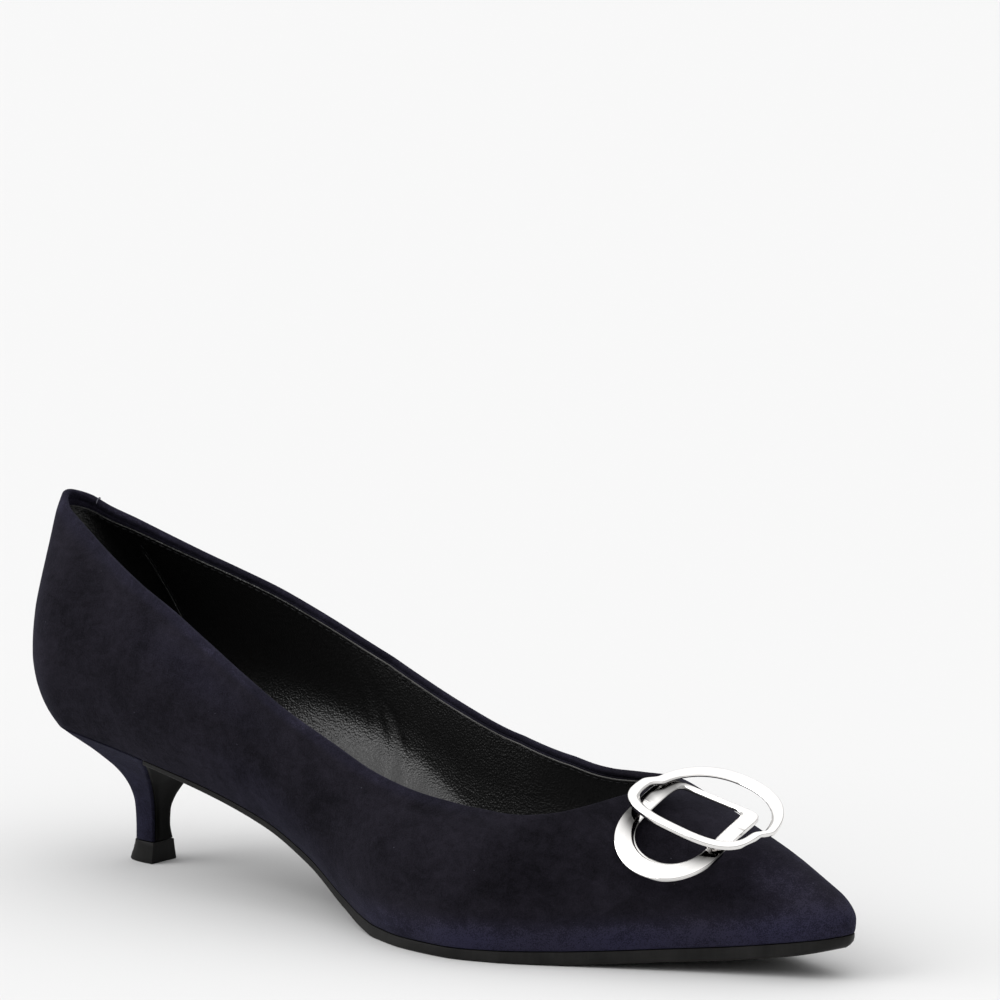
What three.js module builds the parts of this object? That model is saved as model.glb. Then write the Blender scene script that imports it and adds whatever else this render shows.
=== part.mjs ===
// Kitten heel pump: a pointed low-cut court shoe for the right foot, on a slim covered heel.
// Millimetres. +X points to the toe, +Z up, and -Y is the outer side of the foot.
// The shoe stands on its forefoot and its top lift, with the floor at Z = 0.
import * as THREE from "three";

// Driving sizes
const LENGTH = 253;
const BALL_WIDTH = 72;
const SEAT_HEIGHT = 36.8;
const BELLY_HEIGHT = 18.1;
const COLLAR_HEIGHT = 95.2;
const COLLAR_HALF_WIDTH = 30;
const THROAT_HEIGHT = 39.2;
const BACK_LEAN = 13;
const DOME_SKEW = 3.2;
const TOE_SWING = 4;
const WALL = 1.8;
const GAP = 0.3;
const SOLE_THICKNESS = 3.0;
const SOLE_BEVEL = 0.6;
const INSOLE_THICKNESS = 2.0;
const HEEL_FRONT = 41;
const HEEL_SETBACK = 0.4;
const LIFT_HEIGHT = 5.5;
const LIFT_HALF_WIDTH = 4.8;
const LIFT_DEPTH = 10.3;
const BREAST_COVER_THICKNESS = 0.9;
const FOLD_EDGE = 0.9;
const RING_LENGTH = 36.4;
const RING_THICKNESS = 1.1;
const RING_EDGE = 0.25;
const RING_BEVEL = 1.0;
const RING_BEVEL_DEPTH = 0.7;

// Places along the foot, as shares of LENGTH
const HEEL_ROUND = 0.083;
const COLLAR_ROUND = 0.04;
const BREAST = 0.2;
const COLLAR_SIDE = 0.62;
const THROAT = 0.779;
const TOE_ROUND = 0.026;
const OUTER_THROAT_START = 0.68;
const INNER_THROAT_START = 0.64;

// The last, one row for each section. Half widths at the feather line and how far the wall
// swells out above it are shares of BALL_WIDTH, the feather line's height is a share of
// SEAT_HEIGHT, and belly, the height from there to the widest place, is a share of
// BELLY_HEIGHT. Power is the roundness of the dome over the foot.
const LAST = {
  columns: ["at", "outer", "inner", "feather", "outerSwell", "innerSwell", "belly", "power"],
  rows: [
    [0.0, 0.271, 0.285, 1.0, 0.05, 0.05, 0.95, 2.0],
    [0.06, 0.28, 0.291, 0.992, 0.054, 0.054, 0.978, 2.0],
    [0.14, 0.289, 0.296, 0.935, 0.064, 0.065, 1.0, 2.05],
    [0.22, 0.292, 0.285, 0.844, 0.079, 0.092, 1.0, 2.07],
    [0.3, 0.289, 0.25, 0.728, 0.097, 0.132, 0.978, 2.1],
    [0.37, 0.292, 0.225, 0.587, 0.099, 0.158, 0.956, 2.1],
    [0.43, 0.314, 0.223, 0.408, 0.096, 0.165, 0.906, 2.15],
    [0.49, 0.366, 0.258, 0.189, 0.075, 0.132, 0.79, 2.2],
    [0.52, 0.41, 0.29, 0.122, 0.065, 0.111, 0.735, 2.2],
    [0.55, 0.458, 0.333, 0.092, 0.056, 0.09, 0.685, 2.2],
    [0.6, 0.514, 0.403, 0.083, 0.044, 0.057, 0.608, 2.25],
    [0.65, 0.528, 0.453, 0.082, 0.039, 0.042, 0.558, 2.35],
    [0.7, 0.486, 0.471, 0.087, 0.035, 0.033, 0.519, 2.45],
    [0.75, 0.407, 0.447, 0.1, 0.031, 0.028, 0.464, 2.4],
    [0.8, 0.326, 0.382, 0.125, 0.026, 0.024, 0.398, 2.3],
    [0.85, 0.249, 0.299, 0.158, 0.022, 0.021, 0.331, 2.1],
    [0.9, 0.179, 0.213, 0.192, 0.018, 0.018, 0.26, 2.0],
    [0.95, 0.118, 0.135, 0.239, 0.015, 0.014, 0.199, 2.0],
    [1.0, 0.072, 0.081, 0.2985, 0.011, 0.011, 0.144, 2.0],
  ],
};

// The collar's edge: its height as a share of COLLAR_HEIGHT and its half width as a share of
// COLLAR_HALF_WIDTH. From where each side's throat starts it closes in a quarter of an ellipse.
const COLLAR = {
  columns: ["at", "height", "half"],
  rows: [
    [0.0, 1.0, 0.183],
    [0.02, 0.983, 0.213],
    [0.04, 0.96, 0.247],
    [0.08, 0.922, 0.347],
    [0.12, 0.88, 0.45],
    [0.16, 0.839, 0.547],
    [0.2, 0.8, 0.64],
    [0.25, 0.752, 0.727],
    [0.3, 0.693, 0.807],
    [0.36, 0.616, 0.89],
    [0.42, 0.543, 0.953],
    [0.48, 0.479, 0.972],
    [0.54, 0.421, 0.995],
    [0.6, 0.387, 1.0],
    [0.66, 0.372, 0.995],
    [0.72, 0.374, 0.995],
    [0.779, 0.412, 0.995],
  ],
};

// The dome's highest line on either side, as shares of THROAT_HEIGHT. Both run into one ridge
// at the throat. Skew, a share of DOME_SKEW, leans the dome towards the inner side of the foot.
const RIDGE = {
  columns: ["at", "outer", "inner", "skew"],
  rows: [
    [0.55, 1.276, 1.378, 0.09],
    [0.62, 1.145, 1.25, 0.25],
    [0.66, 1.082, 1.189, 0.44],
    [0.7, 1.102, 1.102, 0.66],
    [0.72, 1.102, 1.077, 0.75],
    [0.743, 1.077, 1.051, 0.84],
    [0.765, 1.031, 1.026, 0.94],
    [0.779, 1.0, 1.0, 0.97],
    [0.8, 0.964, 0.964, 1.0],
    [0.85, 0.867, 0.867, 0.97],
    [0.9, 0.76, 0.76, 0.75],
    [0.93, 0.681, 0.681, 0.56],
    [0.96, 0.584, 0.584, 0.28],
    [0.98, 0.508, 0.508, 0.12],
    [1.0, 0.423, 0.423, 0.0],
  ],
};

// The back of the shoe in side view, from the feather line (0) to the collar's height (1): how
// far forward it lies, as a share of BACK_LEAN.
const BACK = {
  columns: ["at", "forward"],
  rows: [
    [0, 1.0],
    [0.035, 0.862],
    [0.085, 0.712],
    [0.13, 0.612],
    [0.2, 0.508],
    [0.31, 0.438],
    [0.5, 0.431],
    [0.63, 0.462],
    [0.8, 0.504],
    [0.91, 0.528],
    [1.0, 0.623],
  ],
};

// The middle line of the last swings inwards towards the toe, as a share of TOE_SWING, and the
// sole grows thicker along the shank, as a share of SOLE_THICKNESS.
const SHANK = {
  columns: ["at", "swing", "thick"],
  rows: [
    [0.0, 0.0, 0.4],
    [0.2, 0.0, 0.4],
    [0.3, 0.0, 0.5],
    [0.45, 0.0, 0.72],
    [0.56, 0.0, 1.1],
    [0.69, 0.05, 1.1],
    [0.8, 0.25, 1.05],
    [0.9, 0.55, 1.08],
    [1.0, 1.0, 1.12],
  ],
};

// The heel from its foot (0) to the seat (1): the share of the way out that its sides and its
// back have reached at each height. Its foot is smaller than the lift by two shares.
const HEEL = {
  columns: ["at", "side", "back"],
  rows: [
    [0.0, 0.0, 0.0],
    [0.15, -0.03, 0.005],
    [0.3, -0.02, 0.02],
    [0.42, 0.035, 0.07],
    [0.52, 0.12, 0.15],
    [0.62, 0.23, 0.28],
    [0.72, 0.39, 0.46],
    [0.8, 0.53, 0.62],
    [0.88, 0.7, 0.79],
    [0.94, 0.84, 0.91],
    [1.0, 1.0, 1.0],
  ],
};
const HEEL_FOOT_WIDTH = 0.82;
const HEEL_FOOT_DEPTH = 0.78;

// The two metal rings over the vamp. "at" is a share of LENGTH and "across" a share of
// BALL_WIDTH from the middle line. Slope is a share of the ridge's own slope there. Tilt is in
// degrees, and bend in degrees that the ring turns over across RING_LENGTH. Lift over the dome, half sizes and bands are shares
// of RING_LENGTH: long and bandSide lie along the foot, far towards its inner side and near
// towards its outer side, and the far half is shifted towards the toe. Round is the power of
// the outline on either side, and feet are angles on it in degrees.
const RINGS = {
  ornament_lower_ring: {
    at: 0.8465, across: -0.196, lift: 0.031, slope: 0.7, tilt: 32, bend: 36, long: 0.395, far: 0.43, near: 0.385, shift: 0,
    roundFar: 12, roundNear: 2.1, bandFar: 0.088, bandSide: 0.13, bandNear: 0.137, feet: [25, 223],
  },
  ornament_upper_ring: {
    at: 0.855, across: -0.104, lift: 0.016, slope: 0.85, tilt: 17, bend: 0, long: 0.485, far: 0.5, near: 0.31, shift: 0.055,
    roundFar: 2.2, roundNear: 3.0, bandFar: 0.09, bandSide: 0.068, bandNear: 0.08, feet: [40, 132],
  },
};

const MATERIALS = {
  suede: new THREE.MeshStandardMaterial({ name: "suede", color: 0x1e1f33, roughness: 0.95, metalness: 0 }),
  heelSuede: new THREE.MeshStandardMaterial({ name: "heel_suede", color: 0x1e1f33, roughness: 0.95, metalness: 0 }),
  lining: new THREE.MeshStandardMaterial({ name: "lining", color: 0x0b0b0c, roughness: 0.45, metalness: 0 }),
  sole: new THREE.MeshStandardMaterial({ name: "sole", color: 0x1a1a19, roughness: 0.6, metalness: 0 }),
  breast: new THREE.MeshStandardMaterial({ name: "breast", color: 0x131312, roughness: 0.5, metalness: 0 }),
  lift: new THREE.MeshStandardMaterial({ name: "lift", color: 0x1b1b1a, roughness: 0.55, metalness: 0 }),
  metal: new THREE.MeshStandardMaterial({ name: "metal", color: 0xd9dadb, roughness: 0.08, metalness: 1 }),
};

// Smooth curve through one column of a table, without overshoot between rows
function curve(table, name) {
  const column = table.columns.indexOf(name);
  const x = table.rows.map((row) => row[0]);
  const y = table.rows.map((row) => row[column]);
  const last = x.length - 1;
  const slopes = x.slice(1).map((value, i) => (y[i + 1] - y[i]) / (value - x[i]));
  const tangents = y.map((_, i) => {
    if (i === 0) return slopes[0];
    if (i === last) return slopes[last - 1];
    const [before, after] = [slopes[i - 1], slopes[i]];
    if (before * after <= 0) return 0;
    const [left, right] = [x[i] - x[i - 1], x[i + 1] - x[i]];
    const [a, b] = [2 * right + left, right + 2 * left];
    return (a + b) / (a / before + b / after);
  });
  return (at) => {
    const place = Math.min(Math.max(at, x[0]), x[last]);
    let i = 0;
    while (i < last - 1 && place > x[i + 1]) i += 1;
    const width = x[i + 1] - x[i];
    const t = (place - x[i]) / width;
    const u = 1 - t;
    return (
      (1 + 2 * t) * u * u * y[i] +
      t * u * u * width * tangents[i] +
      t * t * (3 - 2 * t) * y[i + 1] -
      t * t * u * width * tangents[i + 1]
    );
  };
}

const curves = (table) =>
  Object.fromEntries(table.columns.slice(1).map((name) => [name, curve(table, name)]));
const last = curves(LAST);
const collar = curves(COLLAR);
const ridge = curves(RIDGE);
const back = curves(BACK);
const shank = curves(SHANK);
const heelShape = curves(HEEL);

const OUTER = -1;
const INNER = 1;
const mix = (a, b, t) => a * (1 - t) + b * t;
const clamp01 = (t) => Math.min(Math.max(t, 0), 1);
const smooth = (from, to, at) => {
  const t = clamp01((at - from) / (to - from));
  return t * t * (3 - 2 * t);
};
const quarterRound = (t) => Math.sqrt(Math.max(1 - t * t, 0));
const evenly = (count) => Array.from({ length: count }, (_, i) => i / (count - 1));

// How far the outline has opened from the round ends of the foot, 0 to 1
const toeRound = (at) => quarterRound(clamp01((at - 1 + TOE_ROUND) / TOE_ROUND));
const openness = (at) => quarterRound(clamp01(1 - at / HEEL_ROUND)) * toeRound(at);

const featherHalf = (at, side) =>
  (side === OUTER ? last.outer(at) : last.inner(at)) * BALL_WIDTH * openness(at);
const featherHeight = (at) => last.feather(at) * SEAT_HEIGHT;
const middleLine = (at) => shank.swing(at) * TOE_SWING;
const skew = (at) => ridge.skew(at) * DOME_SKEW;

function collarHalf(at, side) {
  if (at >= THROAT) return 0;
  const opened = quarterRound(clamp01(1 - at / COLLAR_ROUND));
  const start = side === OUTER ? OUTER_THROAT_START : INNER_THROAT_START;
  const closed = quarterRound(clamp01((at - start) / (THROAT - start)));
  return collar.half(at) * COLLAR_HALF_WIDTH * opened * closed;
}

// The measures of one section on one side of the foot. Behind the vamp the crown is the dome
// that would pass through the collar's edge, and it hands over to the ridge table.
function section(at, side) {
  const vampStart = 0.6;
  const vampWhole = 0.7;
  const noseShare = 0.25;
  const foot = featherHalf(at, side);
  const feather = featherHeight(at);
  const swellShare = side === OUTER ? last.outerSwell(at) : last.innerSwell(at);
  const swell = swellShare * BALL_WIDTH * openness(at);
  const widest = foot + swell;
  const bulge = feather + last.belly(at) * BELLY_HEIGHT;
  const power = last.power(at);
  const top = Math.min(collarHalf(at, side), widest * 0.995);
  const collarTop = collar.height(at) * COLLAR_HEIGHT;
  const own = side === OUTER || at >= THROAT ? ridge.outer(at) : ridge.inner(at);
  let crown = own * THROAT_HEIGHT;
  if (at < vampWhole) {
    const share = Math.max(1 - (top / Math.max(widest, 1e-6)) ** power, 1e-4);
    const through = bulge + (collarTop - bulge) / share ** (1 / power);
    crown = mix(through, crown, smooth(vampStart, vampWhole, at));
  }
  if (at > 1 - TOE_ROUND) crown = mix(mix(bulge, crown, noseShare), crown, toeRound(at));
  const edge = top > 0 ? (1 - (top / widest) ** power) ** (1 / power) : 1;
  return { foot, feather, swell, widest, bulge, power, top, collarTop, crown, edge };
}

// A point of the last's outside: v runs 0 to 1 from the feather line to the bulge, and 1 to 2
// from there to the collar's edge or, past the throat, to the ridge.
function lastPoint(at, side, v) {
  const wallEnd = 0.38;
  const domeStart = 0.64;
  const cupEnd = 0.3;
  const s = section(at, side);
  let y;
  let z;
  if (v <= 1) {
    y = s.foot + s.swell * (1 - (1 - v) ** 2);
    z = mix(s.feather, s.bulge, v);
  } else {
    const t = v - 1;
    const angle = Math.asin(Math.min(s.edge ** (s.power / 2), 1)) * t;
    const rise = Math.sin(angle) ** (2 / s.power);
    const domeY = s.widest * Math.max(Math.cos(angle), 0) ** (2 / s.power) + side * skew(at) * rise ** 1.5;
    const domeZ = mix(s.bulge, s.crown, rise);
    const wallY = mix(s.widest, s.top, t ** 1.8);
    const wallZ = mix(s.bulge, s.collarTop, t);
    const domed = smooth(wallEnd, domeStart, at);
    y = mix(wallY, domeY, domed);
    z = mix(wallZ, domeZ, domed);
  }
  const lean = back.forward((z - s.feather) / (COLLAR_HEIGHT - SEAT_HEIGHT)) * BACK_LEAN;
  const forward = lean * Math.max(1 - at / cupEnd, 0) ** 2;
  return new THREE.Vector3(LENGTH * at + forward, side * y + middleLine(at), z);
}

// Places of the sections from the back to the toe, closer together where the outline turns
function stations() {
  const places = [];
  for (const t of evenly(8)) places.push(HEEL_ROUND * (1 - Math.cos((t * Math.PI) / 2)));
  for (const t of evenly(14).slice(1)) places.push(mix(HEEL_ROUND, COLLAR_SIDE, t));
  for (const t of evenly(10).slice(1)) places.push(mix(COLLAR_SIDE, THROAT, Math.sin((t * Math.PI) / 2)));
  for (const t of evenly(9).slice(1)) places.push(mix(THROAT, 1 - TOE_ROUND, t));
  for (const t of evenly(6).slice(1)) places.push(mix(1 - TOE_ROUND, 1, Math.sin((t * Math.PI) / 2)));
  return places;
}

// A closed body from triangles given as triples of points. Equal points are joined, and
// triangles that shrink to a line are dropped.
function solid(name, triangles, material) {
  const positions = [];
  const index = [];
  const known = new Map();
  const vertex = (point) => {
    const key = point.toArray().map((value) => Math.round(value * 1e4)).join(",");
    if (!known.has(key)) {
      known.set(key, positions.length / 3);
      positions.push(point.x, point.y, point.z);
    }
    return known.get(key);
  };
  let volume = 0;
  for (const corners of triangles) {
    const [a, b, c] = corners.map(vertex);
    if (a === b || b === c || a === c) continue;
    index.push(a, b, c);
    volume += corners[0].dot(corners[1].clone().cross(corners[2]));
  }
  if (volume < 0) index.reverse();
  const geometry = new THREE.BufferGeometry();
  geometry.setAttribute("position", new THREE.Float32BufferAttribute(positions, 3));
  geometry.setIndex(index);
  geometry.computeVertexNormals();
  const mesh = new THREE.Mesh(geometry, material);
  mesh.name = name;
  return mesh;
}

const quad = (a, b, c, d) => [[a, b, c], [a, c, d]];

// The sides of a body through closed rings of points
function skin(rings) {
  const triangles = [];
  const count = rings[0].length;
  for (let i = 0; i + 1 < rings.length; i += 1) {
    for (let k = 0; k < count; k += 1) {
      const next = (k + 1) % count;
      triangles.push(...quad(rings[i][k], rings[i][next], rings[i + 1][next], rings[i + 1][k]));
    }
  }
  return triangles;
}

// A body lofted through closed rings of points. A ring's two halves mirror each other, so its
// end is closed with strips across it.
function loft(rings) {
  const count = rings[0].length;
  const cap = (ring) => {
    const strips = [];
    for (let k = 0; k < count / 2 - 1; k += 1) {
      strips.push(...quad(ring[k], ring[k + 1], ring[count - 2 - k], ring[count - 1 - k]));
    }
    return strips;
  };
  return [...skin(rings), ...cap([...rings[0]].reverse()), ...cap(rings[rings.length - 1])];
}

// The upper: a wall of even thickness around the last, open at the collar and underneath
function upper() {
  const places = stations();
  const rows = [...evenly(5), ...evenly(10).slice(1).map((t) => 1 + t)];
  const columns = [
    ...[...places].reverse().map((at) => ({ at, side: OUTER })),
    ...places.slice(1, -1).map((at) => ({ at, side: INNER })),
  ];
  const count = columns.length;
  const top = rows.length - 1;
  const outside = columns.map(({ at, side }) => rows.map((v) => lastPoint(at, side, v)));
  const mirrored = (j) => (2 * (places.length - 1) - j) % count;
  const above = (j, v) => {
    if (v < top) return outside[j][v + 1];
    return columns[j].at >= THROAT ? outside[mirrored(j)][top - 1] : outside[j][v];
  };
  const inside = outside.map((column, j) =>
    column.map((point, v) => {
      const along = outside[(j + 1) % count][v].clone().sub(outside[(j + count - 1) % count][v]);
      const up = above(j, v).clone().sub(column[Math.max(v - 1, 0)]);
      const inwards = along.cross(up).normalize();
      const moved = point.clone().addScaledVector(inwards, WALL);
      if (v === 0) moved.z = point.z;
      return moved;
    }),
  );
  columns.forEach(({ at, side }, j) => {
    if (side === OUTER || at < THROAT) return;
    const shared = inside[j][top].clone().lerp(inside[mirrored(j)][top], 0.5);
    inside[j][top] = shared;
    inside[mirrored(j)][top] = shared;
    outside[j][top] = outside[mirrored(j)][top];
  });
  const triangles = [];
  for (let j = 0; j < count; j += 1) {
    const n = (j + 1) % count;
    for (let v = 0; v < top; v += 1) {
      triangles.push(...quad(outside[j][v], outside[n][v], outside[n][v + 1], outside[j][v + 1]));
      triangles.push(...quad(inside[j][v + 1], inside[n][v + 1], inside[n][v], inside[j][v]));
    }
    triangles.push(...quad(inside[j][0], inside[n][0], outside[n][0], outside[j][0]));
    if (columns[j].at <= THROAT && columns[n].at <= THROAT) {
      triangles.push(...quad(outside[j][top], outside[n][top], inside[n][top], inside[j][top]));
    }
  }
  return solid("upper", triangles, MATERIALS.suede);
}

// The feather line in plan, moved in by a distance square to it
function outline(places, inset) {
  const side = (which) => {
    const points = places.map((at) => lastPoint(at, which, 0));
    return points.map((point, i) => {
      const before = points[Math.max(i - 1, 0)];
      const after = points[Math.min(i + 1, points.length - 1)];
      const run = after.clone().sub(before).setZ(0).normalize();
      if (places[i] === 0) run.set(0, which, 0);
      if (places[i] === 1) run.set(0, -which, 0);
      const moved = point.clone();
      moved.x += which * run.y * inset;
      if (places[i] > 0 && places[i] < 1) moved.y -= which * run.x * inset;
      return moved;
    });
  };
  return { outer: side(OUTER), inner: side(INNER) };
}

function insole() {
  const plan = outline(stations(), WALL + GAP);
  const rings = plan.outer.map((outer, i) => {
    const inner = plan.inner[i];
    const lifted = (point) => point.clone().setZ(point.z + INSOLE_THICKNESS);
    return [outer, lifted(outer), lifted(inner), inner];
  });
  return solid("insole", loft(rings), MATERIALS.lining);
}

// The outsole runs from the heel's breast to the toe and lies flat under the forefoot
function outsole() {
  const start = BREAST + GAP / LENGTH + 0.003;
  const places = [start, ...stations().filter((at) => at > start + 0.01)];
  const plan = outline(places, 0);
  const rings = plan.outer.map((outer, i) => {
    const inner = plan.inner[i];
    const top = outer.z - GAP;
    const bottom = Math.max(top - SOLE_THICKNESS * shank.thick(places[i]), 0);
    const edge = Math.min(bottom + SOLE_BEVEL, (top + bottom) / 2);
    const middle = (outer.y + inner.y) / 2;
    const narrowed = (point) =>
      mix(point.y, middle, SOLE_BEVEL / Math.max(Math.abs(point.y - middle), SOLE_BEVEL));
    return [
      new THREE.Vector3(outer.x, outer.y, top),
      new THREE.Vector3(outer.x, outer.y, edge),
      new THREE.Vector3(outer.x, narrowed(outer), bottom),
      new THREE.Vector3(inner.x, narrowed(inner), bottom),
      new THREE.Vector3(inner.x, inner.y, edge),
      new THREE.Vector3(inner.x, inner.y, top),
    ];
  });
  return solid("outsole", loft(rings), MATERIALS.sole);
}

// Half of a D outline from its front corner (0) to the middle of its back (1)
function dPoint(t, side, front, halfWidth, depth) {
  const angle = (t * Math.PI) / 2;
  const squareness = 0.8;
  return new THREE.Vector3(
    front - depth * Math.sin(angle) ** squareness,
    side * halfWidth * Math.max(Math.cos(angle), 0) ** squareness,
    0,
  );
}

const HEEL_STEPS = evenly(17);

// One level of the heel: a ring from the outer front corner round the back to the inner one
function heelRing(level) {
  const seatInset = 0.012;
  const foot = LIFT_HEIGHT + GAP;
  const halfWidth = LIFT_HALF_WIDTH * HEEL_FOOT_WIDTH;
  const depth = LIFT_DEPTH * HEEL_FOOT_DEPTH;
  const side = (which) =>
    HEEL_STEPS.map((t) => {
      const low = dPoint(t, which, HEEL_FRONT - HEEL_SETBACK, halfWidth, depth);
      const round = Math.sin((t * Math.PI) / 2);
      const at = BREAST * (1 - round);
      const high = lastPoint(at, which, 0);
      high.z = featherHeight(at) - GAP;
      high.x = mix(high.x, LENGTH * BREAST, seatInset);
      const out = mix(heelShape.side(level), heelShape.back(level), round ** 2);
      return new THREE.Vector3(
        mix(low.x, high.x, out),
        mix(low.y, high.y, out),
        mix(foot, high.z, level),
      );
    });
  return [...side(OUTER), ...side(INNER).reverse()];
}

function heel() {
  return solid("heel", loft(evenly(17).map(heelRing)), MATERIALS.heelSuede);
}

// A thin facing on the front of the heel, inside the suede's folded edges and under the outsole
function breastCover() {
  const lowest = 0.01;
  const highest = 0.9;
  const levels = evenly(13).map((t) => mix(lowest, highest, t));
  const rings = levels.map((level) => {
    const ring = heelRing(level);
    const corner = ring[0];
    const other = ring[ring.length - 1];
    const at = (x, y) => new THREE.Vector3(x, y, corner.z);
    const front = corner.x + GAP;
    const face = front + BREAST_COVER_THICKNESS;
    return [
      at(front, corner.y + FOLD_EDGE),
      at(face, corner.y + FOLD_EDGE),
      at(face, other.y - FOLD_EDGE),
      at(front, other.y - FOLD_EDGE),
    ];
  });
  return solid("breast_cover", loft(rings), MATERIALS.breast);
}

// The lift narrows from just over the floor up to the heel's foot
function topLift() {
  const level = (z, scale) => {
    const front = HEEL_FRONT - HEEL_SETBACK * (1 - scale);
    const side = (which) =>
      HEEL_STEPS.map((t) => dPoint(t, which, front, LIFT_HALF_WIDTH * scale, LIFT_DEPTH * scale).setZ(z));
    return [...side(OUTER), ...side(INNER).reverse()];
  };
  const worn = 0.99;
  const waist = mix(HEEL_FOOT_WIDTH, 1, 0.5);
  const rings = [
    level(0, worn),
    level(GAP, 1),
    level(LIFT_HEIGHT * 0.5, waist),
    level(LIFT_HEIGHT, HEEL_FOOT_WIDTH + 0.02),
  ];
  return solid("top_lift", loft(rings), MATERIALS.lift);
}

// Height of the upper's outside over a place in plan, where the dome is closed or nearly so
function domeHeight(x, y) {
  const closed = 0.7;
  const at = clamp01(x / LENGTH);
  const offset = y - middleLine(at);
  const side = offset < skew(at) ? OUTER : INNER;
  const s = section(Math.max(at, closed), side);
  const wide = Math.max(s.widest, 1e-6);
  let rise = 1;
  for (let i = 0; i < 12; i += 1) {
    const reach = Math.abs(offset - skew(at) * rise ** 1.5);
    rise = Math.max(1 - Math.min(reach / wide, 1) ** s.power, 0) ** (1 / s.power);
  }
  return mix(s.bulge, s.crown, rise);
}

const RING_STEPS = 56;

// The plan of a ring's outer or inner edge at an angle: along the foot and across it
function ringEdge(spec, angle, inset) {
  const far = Math.sin(angle) > 0;
  const power = 2 / (far ? spec.roundFar : spec.roundNear);
  const reach = (value) => Math.sign(value) * Math.abs(value) ** power;
  const half = far ? spec.far - inset * spec.bandFar : spec.near - inset * spec.bandNear;
  const long = spec.long - inset * spec.bandSide;
  const along = long * reach(Math.cos(angle)) + (far ? spec.shift : 0);
  return [RING_LENGTH * along, RING_LENGTH * half * reach(Math.sin(angle))];
}

// How far out a place in a ring's plan lies: over 1 is outside of that edge
function ringReach(spec, a, b, inset) {
  const far = b > 0;
  const half = far ? spec.far - inset * spec.bandFar : spec.near - inset * spec.bandNear;
  const long = spec.long - inset * spec.bandSide;
  const power = far ? spec.roundFar : spec.roundNear;
  const along = a / RING_LENGTH - (far ? spec.shift : 0);
  return Math.abs(along / long) ** power + Math.abs(b / (RING_LENGTH * half)) ** power;
}

// The sheet that a ring is cut from. It lies a little flatter than the vamp's ridge and may
// bend across the foot.
function ringSheet(spec) {
  const x = spec.at * LENGTH;
  const y = middleLine(spec.at) + spec.across * BALL_WIDTH;
  const run = RING_LENGTH / LENGTH / 2;
  const fall = (ridge.outer(spec.at - run) - ridge.outer(spec.at + run)) * THROAT_HEIGHT;
  const slope = spec.slope * Math.atan2(fall, RING_LENGTH);
  const along = new THREE.Vector3(Math.cos(slope), 0, -Math.sin(slope));
  const steep = new THREE.Vector3(Math.sin(slope), 0, Math.cos(slope));
  const across = (tilt) => {
    const angle = THREE.MathUtils.degToRad(tilt);
    return new THREE.Vector3(0, Math.cos(angle), 0).addScaledVector(steep, Math.sin(angle));
  };
  const place = (a, b, height) => {
    const turned = (spec.bend * b) / RING_LENGTH;
    return new THREE.Vector3(x, y, 0)
      .addScaledVector(along, a)
      .addScaledVector(across(spec.tilt - turned / 2), b)
      .addScaledVector(along.clone().cross(across(spec.tilt - turned)), height);
  };
  return { x, y, along, across: across(spec.tilt), place };
}

// A ring with one straighter side, over the dome, with short feet down to it. It clears the
// dome and the top of the ring below, whose points come in and whose own go out.
function ring(name, spec, below) {
  const sheet = ringSheet(spec);
  const angles = evenly(RING_STEPS + 1).slice(0, -1).map((t) => t * 2 * Math.PI);
  const plan = angles.map((angle) => {
    const outer = ringEdge(spec, angle, 0);
    const inner = ringEdge(spec, angle, 1);
    const band = Math.hypot(outer[0] - inner[0], outer[1] - inner[1]);
    return { outer, inner, band };
  });
  const at = (p, inset, height) =>
    sheet.place(mix(p.outer[0], p.inner[0], inset / p.band), mix(p.outer[1], p.inner[1], inset / p.band), height);
  const overDome = plan.flatMap((p) =>
    [0, p.band].map((inset) => {
      const point = at(p, inset, 0);
      return domeHeight(point.x, point.y) + spec.lift * RING_LENGTH - point.z;
    }),
  );
  const facetRoom = 0.1;
  const overRing = below.flatMap((point) => {
    const b = (point.y - sheet.y) / sheet.across.y;
    const a = (point.x - sheet.x - b * sheet.across.x) / sheet.along.x;
    const crossed = ringReach(spec, a, b, 0) < 1.1 && ringReach(spec, a, b, 1) > 0.9;
    return crossed ? [point.z + GAP + facetRoom - sheet.place(a, b, 0).z] : [];
  });
  const rise = Math.max(...overDome, ...overRing);
  const raised = (point) => point.setZ(point.z + rise);
  const rings = plan.map((p, i) => {
    const footed = spec.feet.some((foot) => Math.abs((angles[i] * 180) / Math.PI - foot) < 360 / RING_STEPS);
    const bottom = (inset) => {
      const point = raised(at(p, inset, 0));
      if (footed) point.z = domeHeight(point.x, point.y) + GAP;
      return point;
    };
    return [
      bottom(footed ? p.band * 0.25 : 0),
      raised(at(p, 0, RING_THICKNESS - RING_EDGE)),
      raised(at(p, RING_EDGE, RING_THICKNESS)),
      raised(at(p, p.band - RING_BEVEL, RING_THICKNESS)),
      raised(at(p, p.band, RING_THICKNESS - RING_BEVEL_DEPTH)),
      bottom(footed ? p.band * 0.75 : p.band),
    ];
  });
  const top = rings.flatMap((points, i) => {
    const next = rings[(i + 1) % RING_STEPS];
    const between = (k) => evenly(6).map((t) => points[k].clone().lerp(next[k], t));
    return [1, 2, 3, 4].flatMap(between);
  });
  return { mesh: solid(name, skin([...rings, rings[0]]), MATERIALS.metal), top };
}

function ornament() {
  const meshes = [];
  let below = [];
  for (const [name, spec] of Object.entries(RINGS)) {
    const made = ring(name, spec, below);
    meshes.push(made.mesh);
    below = made.top;
  }
  return meshes;
}

const pieces = [upper(), insole(), outsole(), heel(), breastCover(), topLift(), ...ornament()];

// The origin is on the floor, under the middle of the shoe's box
const shoe = new THREE.Group();
shoe.add(...pieces);
const box = new THREE.Box3().setFromObject(shoe);
const middle = box.getCenter(new THREE.Vector3());
for (const piece of pieces) piece.position.set(-middle.x, -middle.y, -box.min.z);

export default shoe;
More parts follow.
